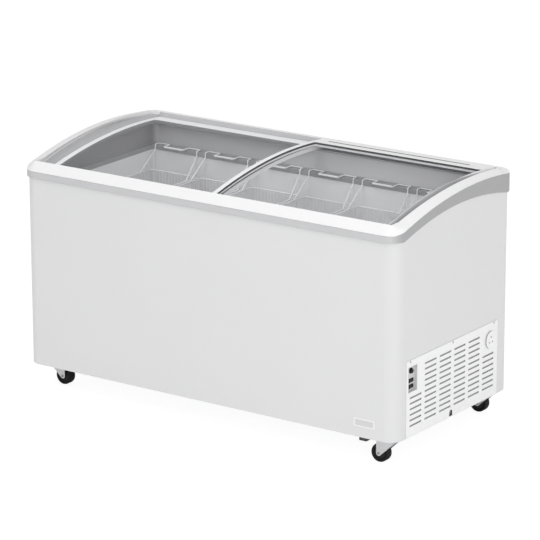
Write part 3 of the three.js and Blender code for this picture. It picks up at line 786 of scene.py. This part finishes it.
def build_rear_panel():
    low, high = box("rear_panel")
    cover_low, cover_high = box("rear_cover")
    top = trim_top(HALF_D) - 3
    margin = 12
    edge = four(BODY_BOTTOM, top, low.x, high.x)
    window = four(cover_low.z + margin, cover_high.z - margin, cover_low.x + margin, cover_high.x - margin)
    piece("rear_panel", Shape(plate("y", edge, [window], HALF_D - SHEET, HALF_D)))


def build_liner():
    """Embossed metal tank, with a raised floor over the machine compartment."""
    low, high = box("inner_liner")
    sheet = 1.2
    x0, x1, y0, y1 = low.x + sheet, high.x - sheet, low.y + sheet, high.y - sheet
    floor, step_z, step_x = low.z + sheet, 430, 372
    side = [(x0, high.z), (x0, floor), (step_x, floor), (step_x, step_z), (x1, step_z), (x1, high.z)]
    count = len(side)
    points = [(x, y, z) for y in (y0, y1) for x, z in side]
    faces = [[i, i + 1, count + i + 1, count + i] for i in range(count - 1)]
    faces += [list(range(count)), list(range(count, 2 * count))]
    obj = publish("inner_liner_look", Shape((points, faces)), FINISH["liner_metal"])
    work = bmesh.new()
    work.from_mesh(obj.data)
    inner = [e for e in work.edges if len(e.link_faces) == 2]
    bmesh.ops.bevel(work, geom=inner, offset=13 * MM, segments=6, profile=0.5, affect="EDGES")
    bmesh.ops.recalc_face_normals(work, faces=work.faces)
    for face in work.faces:
        face.smooth = True
    centre = Vector((0, 0, 0.5))
    tall = max(work.faces, key=lambda f: f.calc_area())
    if (centre - tall.calc_center_median()).dot(tall.normal) < 0:
        bmesh.ops.reverse_faces(work, faces=work.faces)
    work.to_mesh(obj.data)
    work.free()
    thicken(obj, sheet)
    soften(obj, 0)
    stand_for(obj, "inner_liner")


def build_surround():
    """Moulded frame round the mouth of the tank: wall, basket ledge and drip lip."""
    wall_top = lambda y: under_lids(y, 1.5, 756.3, 823.5)
    wall = centred(THROAT_X, THROAT_Y, THROAT_R)
    back = inset(wall, -3.3)
    liner_x, liner_y = 695, 291
    lip = centred(liner_x - 1, liner_y - 3, 12)
    lip_back = centred(liner_x + 3, liner_y + 4, 16)
    cove = 3
    profile = [
        (back, LEDGE_Z - 4), (back, wall_top), (wall, wall_top), (wall, LEDGE_Z + cove),
        (inset(wall, 0.9), LEDGE_Z + 0.9), (inset(wall, cove), LEDGE_Z), (lip, LEDGE_Z), (lip, LIP_Z),
        (lip_back, LIP_Z), (lip_back, LEDGE_Z - 4),
    ]
    piece("inner_surround", Shape(ring(profile)), edge=0.9, segments=3)


# ---- top mouldings

def build_trim_and_collar():
    outer, back = body_rect(TRIM_PROUD), body_rect(0.3)
    trim = [(outer, trim_bottom), (outer, trim_top), (back, trim_top), (back, trim_bottom)]
    piece("trim_band", Shape(ring(trim, 20, 96)), edge=1.2, segments=3)

    inner = rect(
        -HALF_W + INNER_EDGE["side"], HALF_W - INNER_EDGE["side"],
        -HALF_D + INNER_EDGE["front"], HALF_D - INNER_EDGE["rear"], 1.2,
    )
    base = lambda y: trim_top(y) + 0.3
    shoulder = lambda y: mix(base(y), collar_top(y), mix(0.1, 0.9, (y - 310) / 50))
    collar = [
        (outer, base), (body_rect(TRIM_PROUD - 3), shoulder), (inner, collar_top),
        (inner, lambda y: min(collar_top(y) - 18, base(y))), (body_rect(-1.5), lambda y: base(y) + 1),
    ]
    piece("top_collar", Shape(ring(collar, 20, 96)), edge=1.6, segments=3, angle=25)


def build_end_rail(node, sign):
    """An upright rib that stops the lids, and a flange out to the collar."""
    low, high = box(node)
    rib_in = min(abs(low.x), abs(high.x))
    flange_out = max(abs(low.x), abs(high.x))
    rib_out = rib_in + 9
    steps = 80
    sections = []
    for i in range(steps + 1):
        y = mix(low.y, high.y, i / steps)
        floor = left_lid_top(y) - LID_HEIGHT["left"] - 1
        under = collar_top(y) - 18
        crest = max(under + 6, end_rail_top(y))
        profile = [
            (rib_in, floor), (rib_in, crest), (rib_out, crest), (rib_out, under + 4),
            (flange_out, under + 4), (flange_out, under), (rib_out, under), (rib_out, floor),
        ]
        sections.append([(sign * x, y, z) for x, z in profile])
    piece(node, Shape(loft(sections)), RAIL_PLASTIC, edge=1.0, segments=3)


def build_lid_rails():
    """Each long rail carries two tracks: the lower lid inside, the upper lid one step up and out."""
    rear = [
        (313.3, 824.3), (344.7, 824.3), (344.7, 860), (343.5, 860),
        (343.5, 844.3), (339, 844.3), (339, 828.7), (313.3, 828.7),
    ]
    front = [(-313.3, 757.3), (-313.3, 763), (-332, 763), (-332, 787), (-336.7, 787), (-336.7, 757.3)]
    for node, profile in (("rear_rail", rear), ("front_rail", front)):
        low, high = box(node)
        piece(node, Shape(prism("x", profile, low.x, high.x)), edge=0.4)
    build_end_rail("left_end_rail", -1)
    build_end_rail("right_end_rail", 1)


# ---- sliding lids

def build_lid(side, top_of):
    low, high = box(side + "_lid_frame")
    bars = LID_BARS[side]
    outer = rect(low.x, high.x, low.y, high.y, 3)
    inner = rect(
        low.x + bars["left"], high.x - bars["right"], low.y + bars["front"], high.y - bars["rear"], bars["r"],
    )
    bottom = lambda y: top_of(y) - LID_HEIGHT[side]
    frame_ring = ring([(outer, bottom), (outer, top_of), (inner, top_of), (inner, bottom)], 10, 96)
    piece(side + "_lid_frame", Shape(frame_ring), LID_WHITE, edge=1.3, segments=3)

    # Each lid frame is lined on its inner faces: the upper (right) lid with a dark rubber gasket 7 mm deep,
    # whose darkness is also painted shade on that face; the lower (left) lid with a mid grey over the whole
    # face, as painted shade.
    pad = inset(inner, 2.2)
    depth = 7 if side == "right" else LID_HEIGHT[side] - 0.4
    frame_lining = ring([
        (inner, lambda y: top_of(y) - depth), (inner, lambda y: top_of(y) - 0.9),
        (pad, lambda y: top_of(y) - 1.3), (pad, lambda y: top_of(y) - depth),
    ], 10, 96)
    lining_finish = GASKET if side == "right" else LID_SHADE_LINING
    add_on(side + "_lid_lining", Shape(frame_lining), lining_finish, side + "_lid_frame")

    piece(side + "_lid_glass", Shape(curved_pane(inset(inner, 0.3), top_of)), edge=0.5)


def curved_pane(area, top_of):
    """A glass pane with round corners that follows a lid's arch, in sections from front to rear."""
    x0, x1, y0, y1, r = (area[k] for k in ("x0", "x1", "y0", "y1", "r"))
    corner_steps, middle_steps = 8, 80
    front = []
    for i in range(corner_steps + 1):
        angle = i / corner_steps * math.pi / 2
        front.append((y0 + r * (1 - math.cos(angle)), r * (1 - math.sin(angle))))
    middle = [(mix(y0 + r, y1 - r, i / middle_steps), 0) for i in range(1, middle_steps)]
    rear = [(y0 + y1 - y, step) for y, step in reversed(front)]
    sections = []
    for y, step in front + middle + rear:
        top = top_of(y) - GLASS_BELOW_FRAME
        sections.append([(x, y, z) for x, z in four(x0 + step, x1 - step, top, top - GLASS)])
    return loft(sections)


def build_lid_channel():
    """Dark slide strip let into the rear bar of the upper lid."""
    low, high = box("right_lid_frame")
    y, half = 310.5, 2.8
    top = right_lid_top(y)
    profile = [(y - half, top - 3), (y + half, top - 3), (y + half, top + 0.25), (y - half, top + 0.35)]
    strip = prism("x", profile, low.x + 48, high.x - 80)
    add_on("right_lid_channel", Shape(strip), GASKET, "right_lid_frame", 0.2)


def build_brush_seal():
    """A carrier strip under the upper lid, with tufts that sweep the lower lid."""
    low, high = box("centre_brush_seal")
    lid_under = lambda y: right_lid_top(y) - LID_HEIGHT["right"] - 0.3
    tips = lambda y: left_lid_top(y) + 0.6
    steps = 60
    strip_height = 1.2
    strip = []
    for i in range(steps + 1):
        y = mix(low.y, high.y, i / steps)
        top = lid_under(y)
        foot = top - strip_height
        strip.append([(low.x, y, foot), (high.x, y, foot), (high.x, y, top), (low.x, y, top)])
    shape = Shape(loft(strip))
    rng = random.Random(11)
    half, spread = 1.1, 1.15
    count = int((high.y - low.y) / 3.2)
    for row, x in enumerate((low.x + 2, high.x - 2)):
        for i in range(count):
            y = mix(low.y + 2, high.y - 2, (i + 0.5 * row) / count)
            lean = rng.uniform(-0.8, 0.8)
            root = [(x + a * half, y + b * half) for a, b in SQUARE]
            tip = [(x + (a - x) * spread, y + (b - y) * spread + lean) for a, b in root]
            shape.add(loft([along("z", root, lid_under(y) - 0.8), along("z", tip, tips(y))]))
    piece("centre_brush_seal", shape, edge=0)


# ---- baskets

RIM_Z = 665
BASKET_FLOOR = 450
BASKET_R = 14
WIRE_R = 2.5
MESH_R = 0.95
MESH_PITCH = 13


def handle_paths(xc, sign, half_x):
    """The bent bar of one handle, and the grip's part of it."""
    hook_z = LEDGE_Z + WIRE_R + 0.5
    hook_x, grip_x = 92.5, 42
    leg_y, hook_y, grip_y, foot_y = 284.5, 306, 267, 206
    half = lambda s: [
        (s * (half_x - 1), foot_y, RIM_Z), (s * hook_x, leg_y, LIP_Z + 2), (s * hook_x, leg_y, hook_z),
        (s * hook_x, hook_y, hook_z), (s * grip_x, hook_y, hook_z), (s * grip_x, grip_y, hook_z),
    ]
    bar = [(xc + x, sign * y, z) for x, y, z in half(-1) + half(1)[::-1]]
    grip = [(xc + x, sign * grip_y, hook_z) for x in (-38, 38)]
    return bar, grip


def build_basket(number):
    """A hanging basket of welded wire, with a handle hooked over the ledge at each end."""
    node = f"basket_{number}"
    low, high = box(node)
    xc = (low.x + high.x) / 2
    half_x, half_y = (high.x - low.x) / 2 - MESH_R, 270 - MESH_R
    wires = Shape()

    def loop_at(z, radius):
        path = [(xc + x, y, z) for x, y in outline(centred(half_x, half_y, BASKET_R), 5, 1)]
        wires.add(tube(path, radius, 8, closed=True))

    loop_at(RIM_Z - 1, WIRE_R - 0.2)
    loop_at(RIM_Z - 60, MESH_R + 0.5)
    loop_at(BASKET_FLOOR + 70, MESH_R + 0.5)
    loop_at(BASKET_FLOOR + 9, MESH_R + 0.3)

    def cradle(points):
        wires.add(tube(rounded(points, 9, steps=3), MESH_R, 6))

    top, floor = RIM_Z - 1, BASKET_FLOOR + MESH_R + 0.2
    under = floor + 2 * MESH_R
    x0, x1, y0 = xc - half_x + WIRE_R, xc + half_x - WIRE_R, half_y - WIRE_R
    flat_x, flat_y = half_x - BASKET_R, half_y - BASKET_R
    across = int(2 * flat_y / MESH_PITCH)
    for i in range(across + 1):
        y = mix(-flat_y, flat_y, i / across)
        cradle([(x0, y, top), (x0, y, floor), (x1, y, floor), (x1, y, top)])
    lengthwise = int(2 * flat_x / MESH_PITCH)
    for i in range(lengthwise + 1):
        x = mix(xc - flat_x, xc + flat_x, i / lengthwise)
        cradle([(x, -y0, top), (x, -y0, under), (x, y0, under), (x, y0, top)])

    for sign in (-1, 1):
        bar, grip = handle_paths(xc, sign, half_x)
        wires.add(tube(rounded(bar, 6), WIRE_R, 10))
        wires.add(tube(grip, WIRE_R + 1.2, 12))
        for side in (-1, 1):
            for out_x, out_y in ((flat_x, half_y), (half_x, flat_y)):
                x, y = xc + side * out_x, sign * out_y
                post = [(x, y, BASKET_FLOOR + 9), (x, y, RIM_Z), (x, y, LIP_Z + 1)]
                wires.add(tube(post, MESH_R + 0.2, 8))
    piece(node, wires, edge=0)


# ---- machine compartment

SLOT = dict(length=72, height=6.4, pitch_y=90.4, pitch_z=19.2, first_y=-238.3, top_z=321.2, bottom_row=10)
SLOT_TOP_ROW = (5, 0, 0, 0, 0, 4)
DRAIN_Y = -19.5


def screw_dome(radius, shoulder):
    return [(radius, 0), (radius, 0.5), (shoulder, 1.2), (0.5 * radius, 1.6), (0, 1.7), (0, 0)]


def build_grille():
    low, high = GRILLE
    notch_half, notch_top = 10.5, 115
    edge = [(low.y, low.z), (DRAIN_Y - notch_half, low.z)]
    steps = 14
    for i in range(steps + 1):
        angle = math.pi * (1 - i / steps)
        y, z = DRAIN_Y + notch_half * math.cos(angle), notch_top + notch_half * (math.sin(angle) - 1)
        edge.append((y, z))
    edge += [(DRAIN_Y + notch_half, low.z), (high.y, low.z), (high.y, high.z), (low.y, high.z)]
    holes = []
    for column, first_row in enumerate(SLOT_TOP_ROW):
        for row in range(first_row, SLOT["bottom_row"] + 1):
            y = SLOT["first_y"] + column * SLOT["pitch_y"]
            z = SLOT["top_z"] - row * SLOT["pitch_z"]
            holes.append(stadium(y, z, SLOT["length"], SLOT["height"]))
    window_low, window_high = RECESS
    gap = 0.3
    holes.append(four(window_low.y - gap, window_high.y + gap, window_low.z - gap, window_high.z + gap))
    sheet = plate("x", edge, holes, low.x, high.x)
    piece("machine_grille", Shape(sheet), GRILLE_PAINT, edge=0.45)

    # Filter mat behind the slots; its grey also stands in for the shade seen through them. It leaves room for
    # the control recess.
    inside = 0.4
    y_low, y_high, z_low, z_high = low.y + 8, high.y - 10, notch_top + 3, 336
    step_y, step_z = window_high.y + 5, window_low.z - 5
    mat = [
        (y_low, z_low), (y_high, z_low), (y_high, z_high),
        (step_y, z_high), (step_y, step_z), (y_low, step_z),
    ]
    x_face = HALF_W - SHEET - inside
    fleece = Shape(prism("x", mat, x_face - 5, x_face))
    add_on("grille_filter", fleece, FILTER_MAT, "machine_grille")

    for i in (1, 2, 3):
        build_grille_screw(f"grille_screw_{i}", high.x)


def build_grille_screw(node, face_x):
    """A domed cross-head screw, facing +X, with its shank."""
    low, high = box(node)
    _, y, z = (low + high) / 2
    shape = Shape(lathe("x", screw_dome(4, 3.44), 20, (face_x + 0.1, y, z)))
    end = face_x + 0.2
    shank = [(0, low.x), (1.2, low.x), (1.8, low.x + 2), (1.8, end), (0, end)]
    shape.add(lathe("x", shank, 16, (0, y, z)))
    cross_x = face_x + 1.75
    for half_y, half_z in ((0.45, 2.6), (2.6, 0.45)):
        shape.add(block(cross_x, cross_x + 0.15, y - half_y, y + half_y, z - half_z, z + half_z))
    piece(node, shape, edge=0)


def build_plug_holder():
    low, high = box("plug_holder")
    middle = (low + high) / 2
    radius, pin_r = (high.y - low.y) / 2, 3
    pins = ((0, 10), (-9.7, -8), (9.7, -8))
    holes = [circle(pin_r, 20, middle.y + y, middle.z + z) for y, z in pins]
    disc = plate("x", circle(radius, 64, middle.y, middle.z), holes, low.x, high.x)
    piece("plug_holder", Shape(disc), PLUG_WHITE, edge=1.1, segments=3)


CONTROL = dict(y=-254, knob_z=314, knob_r=10, switch_zs=(280, 260), half_y=14.5, half_z=5.75, depth=11)


def around(cy, cz, half_y, half_z, r=0.0):
    return rect(cy - half_y, cy + half_y, cz - half_z, cz + half_z, r)


def moulding_x(levels, arc_steps):
    """A moulding that runs round the X axis. Its levels are (rectangle, x)."""
    return swept([along("x", outline(area, arc_steps), x) for area, x in levels])


def build_controls():
    low, high = RECESS
    floor = high.x - CONTROL["depth"]
    back = floor - 2
    outer = rect(low.y, high.y, low.z, high.z, 2.5)
    inside, draft = inset(outer, 1.8, 1.5), inset(outer, 3.3, 1.5)
    yc = CONTROL["y"]
    holes = [circle(3.4, 24, yc, CONTROL["knob_z"])]
    hole_y, hole_z = CONTROL["half_y"] + 1, CONTROL["half_z"] + 0.5
    for z in CONTROL["switch_zs"]:
        holes.append(four(yc - hole_y, yc + hole_y, z - hole_z, z + hole_z))
    shape = Shape(plate("x", outline(inset(outer, 1, 2), 6), holes, back, floor))
    walls = [(outer, back), (outer, high.x), (inside, high.x), (draft, floor - 0.2), (draft, back)]
    shape.add(moulding_x(walls, 6))
    piece("control_housing", shape, edge=0.5)

    build_knob(floor, yc, CONTROL["knob_z"], CONTROL["knob_r"])
    for node, z in zip(("power_switch", "fast_freeze_switch"), CONTROL["switch_zs"]):
        build_rocker(node, floor, yc, z)


def build_knob(floor, yc, zc, radius):
    """A fluted knob with a raised pointer, a pale mark on it and its shaft."""
    profile = [
        (0, 0.6), (radius, 0.6), (radius, 2.2), (radius - 0.8, 2.8), (radius - 1.2, 6.2),
        (radius - 2, 7.0), (0, 7.05),
    ]
    points, faces = lathe("x", profile, 96)
    flutes, depth = 24, 0.35
    fluted = []
    for p in points:
        r = math.hypot(p.y, p.z)
        on_grip = 2.5 < p.x < 6.6 and r > radius - 2.1
        wave = depth * (math.cos(flutes * math.atan2(p.z, p.y)) - 1) if on_grip else 0
        scale = (r + wave) / r if on_grip else 1
        fluted.append(Vector((p.x, p.y * scale, p.z * scale)))
    shape = Shape()
    shape.add((fluted, faces), (floor, yc, zc))
    shape.add(block(floor + 6, floor + 8.4, yc - 1, yc + 1, zc + 0.5, zc + 8.5))
    shape.add(lathe("x", [(0, -9), (3, -9), (3, 1), (0, 1)], 24, (floor, yc, zc)))
    piece("thermostat_knob", shape, edge=0.25)
    mark = block(floor + 8.35, floor + 8.55, yc - 0.45, yc + 0.45, zc + 4, zc + 8.2)
    add_on("thermostat_mark", Shape(mark), MARK_PAINT, "thermostat_knob")


def build_rocker(node, floor, yc, zc):
    """A rocker switch, tipped one way, in a shallow frame."""
    half, half_z = CONTROL["half_y"], CONTROL["half_z"]
    steps = 12
    face = []
    for i in range(steps + 1):
        u = mix(half, -half, i / steps)
        face.append((u, 2.4 + 1.6 * (u / half) ** 2))
    side = [(-half, -3), (half, -3), *face]
    turn = Matrix.Rotation(-math.pi / 2 + math.radians(7), 4, "Z")
    shape = Shape()
    shape.add(prism("z", side, -half_z, half_z), (floor, yc, zc), turn)
    piece(node, shape, edge=0.5)

    outer = around(yc, zc, half + 1.6, half_z + 1.2, 1)
    inner = around(yc, zc, half + 0.7, half_z + 0.35, 0.6)
    top = floor + 1.2
    rim = moulding_x([(outer, floor), (outer, top), (inner, top), (inner, floor)], 4)
    add_on(node + "_frame", Shape(rim), FINISH["black_plastic"], "control_housing", 0.3)


def build_compressor():
    xc, yc, floor = 545, 200, box("compressor")[0].z
    dome = [
        (0, 10), (66, 10), (74, 16), (79, 30), (81, 60), (82, 88), (86, 90), (86, 95), (82, 97), (80.5, 130),
        (76, 150), (66, 166), (50, 177), (30, 184), (0, 187),
    ]
    shape = Shape(lathe("z", dome, 72, (xc, yc, floor)))
    feet = outline(rect(-90, 90, -60, 60, 18), 8)
    shape.add(prism("z", feet, 6, 9), (xc, yc, floor))
    for dx, dy in ((-78, -48), (78, -48), (78, 48), (-78, 48)):
        grommet = [(0, 0), (12, 0), (12, 3), (9, 4), (12, 5), (12, 11), (5, 12), (5, 16), (0, 16)]
        shape.add(lathe("z", grommet, 24, (xc + dx, yc + dy, floor)))
    shape.add(block(xc - 90, xc - 60, yc - 30, yc + 30, floor + 60, floor + 120))
    piece("compressor", shape, edge=1.5, segments=3)


def build_condenser():
    low, high = box("condenser")
    x0, x1, y0, y1 = 706, 738, -150, 110
    fins = Shape()
    for y in range(y0, y1 + 1, 4):
        fins.add(block(x0, x1, y, y + 0.5, low.z, high.z))
    rows = 6
    for x in (714, 730):
        path = []
        for row in range(rows):
            z = mix(low.z + 18, high.z - 18, row / (rows - 1))
            ends = [(x, y0 - 8, z), (x, y1 + 8, z)]
            path += ends if row % 2 == 0 else ends[::-1]
        fins.add(tube(rounded(path, 17, steps=8), 4, 10))
    piece("condenser", fins, edge=0)


def fan_blade(root_r, tip_r):
    """One swept blade: curved sections from root to tip, each with a front and a back face."""
    span_steps, chord_steps, half_thick = 10, 8, 0.8
    sections = []
    for i in range(span_steps + 1):
        out = i / span_steps
        r = mix(root_r, tip_r, out)
        sweep = 0.55 * out ** 1.4
        pitch = mix(0.75, 0.38, out)
        chord = mix(26, 50, out)
        front, back = [], []
        for j in range(chord_steps + 1):
            u = (j / chord_steps - 0.5) * chord
            camber = 3 * (1 - (2 * j / chord_steps - 1) ** 2)
            x = u * math.sin(pitch) * 0.55 + camber
            angle = sweep + u * math.cos(pitch) / r
            y, z = r * math.sin(angle), r * math.cos(angle)
            front.append((x - half_thick, y, z))
            back.append((x + half_thick, y, z))
        sections.append(front + back[::-1])
    points, faces = loft(sections)
    # The two end caps become strips that follow the blade's curve.
    count = len(sections[0])
    strips = []
    for start in (0, len(points) - count):
        for j in range(chord_steps):
            strips.append([start + k for k in (j, j + 1, count - 2 - j, count - 1 - j)])
    return points, faces[:-2] + strips


def build_fan():
    hub = Vector((676, -20, 222))
    floor = box("fan_motor")[0].z
    can = [
        (0, -82), (22, -82), (30, -78), (34, -70), (34, -40), (36, -39), (36, -33), (34, -32), (30, -24),
        (14, -22), (12, -18), (4, -18), (4, -10), (0, -10),
    ]
    shape = Shape(lathe("x", can, 48, hub))
    shape.add(block(hub.x - 70, hub.x - 40, hub.y - 12, hub.y + 12, floor, hub.z - 20))
    shape.add(block(hub.x - 90, hub.x - 24, hub.y - 40, hub.y + 40, floor, floor + 2))
    piece("fan_motor", shape, edge=1.0)

    centre = hub + Vector((2.5, 0, 0))
    boss = [(0, -11), (18, -11), (20, -9), (20, 9), (17, 11.5), (0, 12)]
    rotor = Shape(lathe("x", boss, 40, centre))
    blades = 5
    for i in range(blades):
        rotor.add(fan_blade(17, 80), centre, Matrix.Rotation(i * 2 * math.pi / blades, 4, "X"))
    piece("fan_blade", rotor, edge=0)


def build_small_parts():
    low, high = box("filter_drier")
    xc, zc = (low.x + high.x) / 2, (low.z + high.z) / 2
    profile = [
        (0, low.y), (3.2, low.y), (4, low.y + 1), (4, -96), (6, -93), (12, -88), (14, -80), (14, 0),
        (12, 8), (6, 13), (4, 16), (4, high.y - 1), (3.2, high.y), (0, high.y),
    ]
    piece("filter_drier", Shape(lathe("y", profile, 32, (xc, 0, zc))), edge=0)

    low, high = box("drain_spout")
    middle = (low + high) / 2
    profile = [(8, low.x), (8, high.x - 0.6), (7.4, high.x), (5.9, high.x), (5.5, high.x - 0.5), (5.5, low.x)]
    piece("drain_spout", Shape(lathe("x", profile, 32, (0, middle.y, middle.z))), edge=0)

    turns = 72
    loop = []
    for i in range(turns + 1):
        angle = i / turns * 1.85 * math.pi
        loop.append((560 + 68 * math.cos(angle), -232 + 68 * math.sin(angle), 100 + 16 * i / turns))
    cord = Shape(tube(loop, 4, 14))
    cord.add(prism("x", outline(rect(-246, -216, 98, 126, 6), 6), 612, 646))
    piece("power_cord", cord, edge=1.2)

    low, high = box("thermostat_body")
    body = Shape(block(low.x + 6, high.x, low.y, high.y, low.z, high.z))
    middle = (low.y + high.y) / 2
    for y in (middle - 10, middle, middle + 10):
        body.add(block(low.x, low.x + 6.5, y - 3, y + 3, 305, 305.8))
    piece("thermostat_body", body, edge=0.8)


def build_rear_cover():
    low, high = box("rear_cover")
    edge = four(low.z, high.z, low.x, high.x)
    holes = []
    for xc in (520, 624):
        for row in range(1, SLOT["bottom_row"]):
            z = SLOT["top_z"] - row * SLOT["pitch_z"]
            holes.append([(v, u) for u, v in stadium(xc, z, SLOT["length"], SLOT["height"])])
    holes.append(circle(5, 20, 343, 684))
    piece("rear_cover", Shape(plate("y", edge, holes, low.y, high.y)))

    screws = Shape()
    for x in (low.x + 9, (low.x + high.x) / 2, high.x - 9):
        for z in (low.z + 9, high.z - 9):
            screws.add(lathe("y", screw_dome(4.2, 3.6), 20, (x, high.y - 0.1, z)))
    add_on("rear_cover_screws", screws, BOLT_STEEL, "rear_cover")


def build_underside():
    low, high = box("base_rail")
    rail = [(low.z, low.x), (low.z, 650), (high.z, high.x), (high.z, low.x)]
    piece("base_rail", Shape(prism("y", rail, low.y, high.y)), edge=1.0)

    low, high = box("base_pan")
    pan = Shape(prism("z", outline(centred(high.x, high.y, CORNER_R - 2), 16), low.z, high.z))
    piece("base_pan", pan, edge=0.5)

    low, high = box("rating_label")
    outer = rect(low.z, high.z, low.x, high.x, 2)
    piece("rating_label", Shape(prism("y", outline(outer, 6), low.y + 0.2, high.y)), edge=0.1)
    field = rect(low.z + 4.5, high.z - 4.5, low.x + 5, high.x - 5, 1)
    ink = prism("y", outline(field, 4), low.y + 0.08, low.y + 0.3)
    add_on("rating_label_field", Shape(ink), LABEL_INK, "rating_label")


# ---- casters

def caster_side(tip_r, top_z, shoulder_z):
    """Outline of a fork cheek, as (z, distance outboard of the swivel axis)."""
    trail = 28
    points = [(top_z, -37)]
    steps = 16
    for i in range(steps + 1):
        angle = -math.pi / 2 - i / steps * math.pi * 0.75
        points.append((WHEEL_R + tip_r * math.cos(angle), -trail + tip_r * math.sin(angle)))
    points += [(shoulder_z, 37), (top_z, 37)]
    return points


def mirrored(half):
    """A lathe profile that is the same on both sides of its middle."""
    return half + [(radius, -place) for radius, place in reversed(half)]


def build_caster(name):
    plate_low, plate_high = box("caster_plate_" + name)
    x = (plate_low.x + plate_high.x) / 2
    y = (plate_low.y + plate_high.y) / 2
    out = 1 if x > 0 else -1
    pad = rect(plate_low.x, plate_high.x, plate_low.y, plate_high.y, 5)
    mount = Shape(prism("z", outline(pad, 6), plate_low.z, plate_high.z))
    for dx in (-29, 29):
        for dy in (-22, 22):
            mount.add(prism("z", circle(5.5, 6, x + dx, y + dy), plate_low.z - 3.2, plate_low.z))
    piece("caster_plate_" + name, mount, edge=0.5)

    fork = Shape()
    cheek = caster_side(9.5, 84, 80)
    for side in (-1, 1):
        yc = y + side * 18
        points, faces = prism("y", cheek, yc - 1, yc + 1)
        fork.add(([(x + out * px, py, pz) for px, py, pz in points], faces))
    fork.add(prism("z", outline(rect(x - 37, x + 37, y - 19, y + 19, 4), 6), 81.5, 84))
    race = [(0, 79.5), (17, 79.5), (20, 82), (20, 84), (17, 86.2), (0, 86.2)]
    fork.add(lathe("z", race, 40, (x, y, 0)))
    piece("caster_fork_" + name, fork, edge=0.6)

    hub_x = x - out * 28
    reach = 18 + 3.2
    turned = lambda half, steps: Shape(lathe("y", mirrored(half), steps, (hub_x, y, WHEEL_R)))
    wheel = "caster_wheel_" + name
    pin = [(0, -reach), (2.6, -reach), (4.6, -reach + 1), (4.6, -19), (4, -19)]
    piece("caster_axle_" + name, turned(pin, 28), BOLT_STEEL, edge=0)
    tyre = [(21, -10.5), (24.5, -11), (26.5, -13.6), (29, -14.6), (31.2, -13.2), (WHEEL_R, -10.5)]
    piece(wheel, turned(tyre, 72), edge=0)
    hub = [(4.3, -15.6), (8, -15.6), (9, -14.8), (9.5, -9), (19, -7.5), (21.2, -10.2)]
    add_on("caster_hub_" + name, turned(hub, 48), HUB_PLASTIC, wheel, 0.4)


# ---- studio

CAMERA_AT = (6.0124, -8.5281, 3.538)
CAMERA_YAW, CAMERA_PITCH, CAMERA_ROLL = 35.092, -16.404, -0.1355
LENS = 211.41


def build_camera():
    data = bpy.data.cameras.new("camera")
    data.lens = LENS
    data.sensor_width = 36
    data.clip_end = 200
    camera = bpy.data.objects.new("camera", data)
    bpy.context.scene.collection.objects.link(camera)
    yaw = Matrix.Rotation(math.radians(CAMERA_YAW), 4, "Z")
    pitch = Matrix.Rotation(math.radians(90 + CAMERA_PITCH), 4, "X")
    roll = Matrix.Rotation(math.radians(CAMERA_ROLL), 4, "Z")
    camera.matrix_world = Matrix.Translation(CAMERA_AT) @ yaw @ pitch @ roll
    bpy.context.scene.camera = camera


def area_light(name, azimuth, elevation, distance, size, power):
    """A soft box that looks at the cabinet. Azimuth 0 stands in front of it and 90 at its right."""
    a, e = math.radians(azimuth), math.radians(elevation)
    target = Vector((0, 0, 0.5))
    back = Vector((math.sin(a) * math.cos(e), -math.cos(a) * math.cos(e), math.sin(e)))
    data = bpy.data.lights.new(name, "AREA")
    data.shape = "SQUARE"
    data.size = size
    data.energy = power
    lamp = bpy.data.objects.new(name, data)
    bpy.context.scene.collection.objects.link(lamp)
    lamp.location = target + back * distance
    lamp.rotation_mode = "QUATERNION"
    lamp.rotation_quaternion = back.to_track_quat("Z", "Y")


FLOOR_GLOW = 0.12  # light the floor gives off towards the cabinet
FLOOR_WHITE = 1.12  # how bright the camera sees the floor
SKY = 0.58


def build_studio():
    floor = bpy.data.meshes.new("floor")
    reach = 60
    floor.from_pydata([(x, y, 0) for x, y in four(-reach, reach, -reach, reach)], [], [(0, 1, 2, 3)])
    plane = bpy.data.objects.new("floor", floor)
    bpy.context.scene.collection.objects.link(plane)
    graph = Graph("floor_paint", roughness=0.9)
    graph.colour(drift(graph, (0.9, 0.9, 0.9), 900, 0.004))
    graph.shader.inputs["Emission Color"].default_value = (1, 1, 1, 1)
    graph.shader.inputs["Emission Strength"].default_value = FLOOR_GLOW
    white = graph.node("ShaderNodeEmission")
    white.inputs["Strength"].default_value = FLOOR_WHITE
    seen = graph.node("ShaderNodeLightPath").outputs["Is Camera Ray"]
    share = graph.spread(seen, 0, 0.8, 0, 1)
    graph.shade(share, graph.shader.outputs["BSDF"], white.outputs["Emission"])
    floor.materials.append(graph.material)

    world = bpy.data.worlds.new("studio")
    world.use_nodes = True
    background = world.node_tree.nodes["Background"]
    background.inputs["Color"].default_value = (1, 1, 1, 1)
    background.inputs["Strength"].default_value = SKY
    bpy.context.scene.world = world
    area_light("corner", 47, 16, 9, 3.5, 172)
    area_light("front", 0, 52, 6, 2.5, 50)
    area_light("right", 105, 25, 6, 3, 28)
    area_light("top", -20, 75, 5, 3, 42)
    bpy.context.scene.view_settings.view_transform = "Standard"


# ---- assembly

for node, obj in frame["nodes"].items():
    obj.data.materials.clear()
    obj.data.materials.append(FINISH[SLOT_OF[node]])

build_skin()
build_rear_panel()
build_liner()
build_surround()
build_trim_and_collar()
build_lid_rails()
build_lid("right", right_lid_top)
build_lid("left", left_lid_top)
build_lid_channel()
build_brush_seal()
for number in range(1, 7):
    build_basket(number)
build_grille()
build_plug_holder()
build_controls()
build_compressor()
build_condenser()
build_fan()
build_small_parts()
build_rear_cover()
build_underside()
for corner_name in CORNERS:
    build_caster(corner_name)
build_studio()
build_camera()
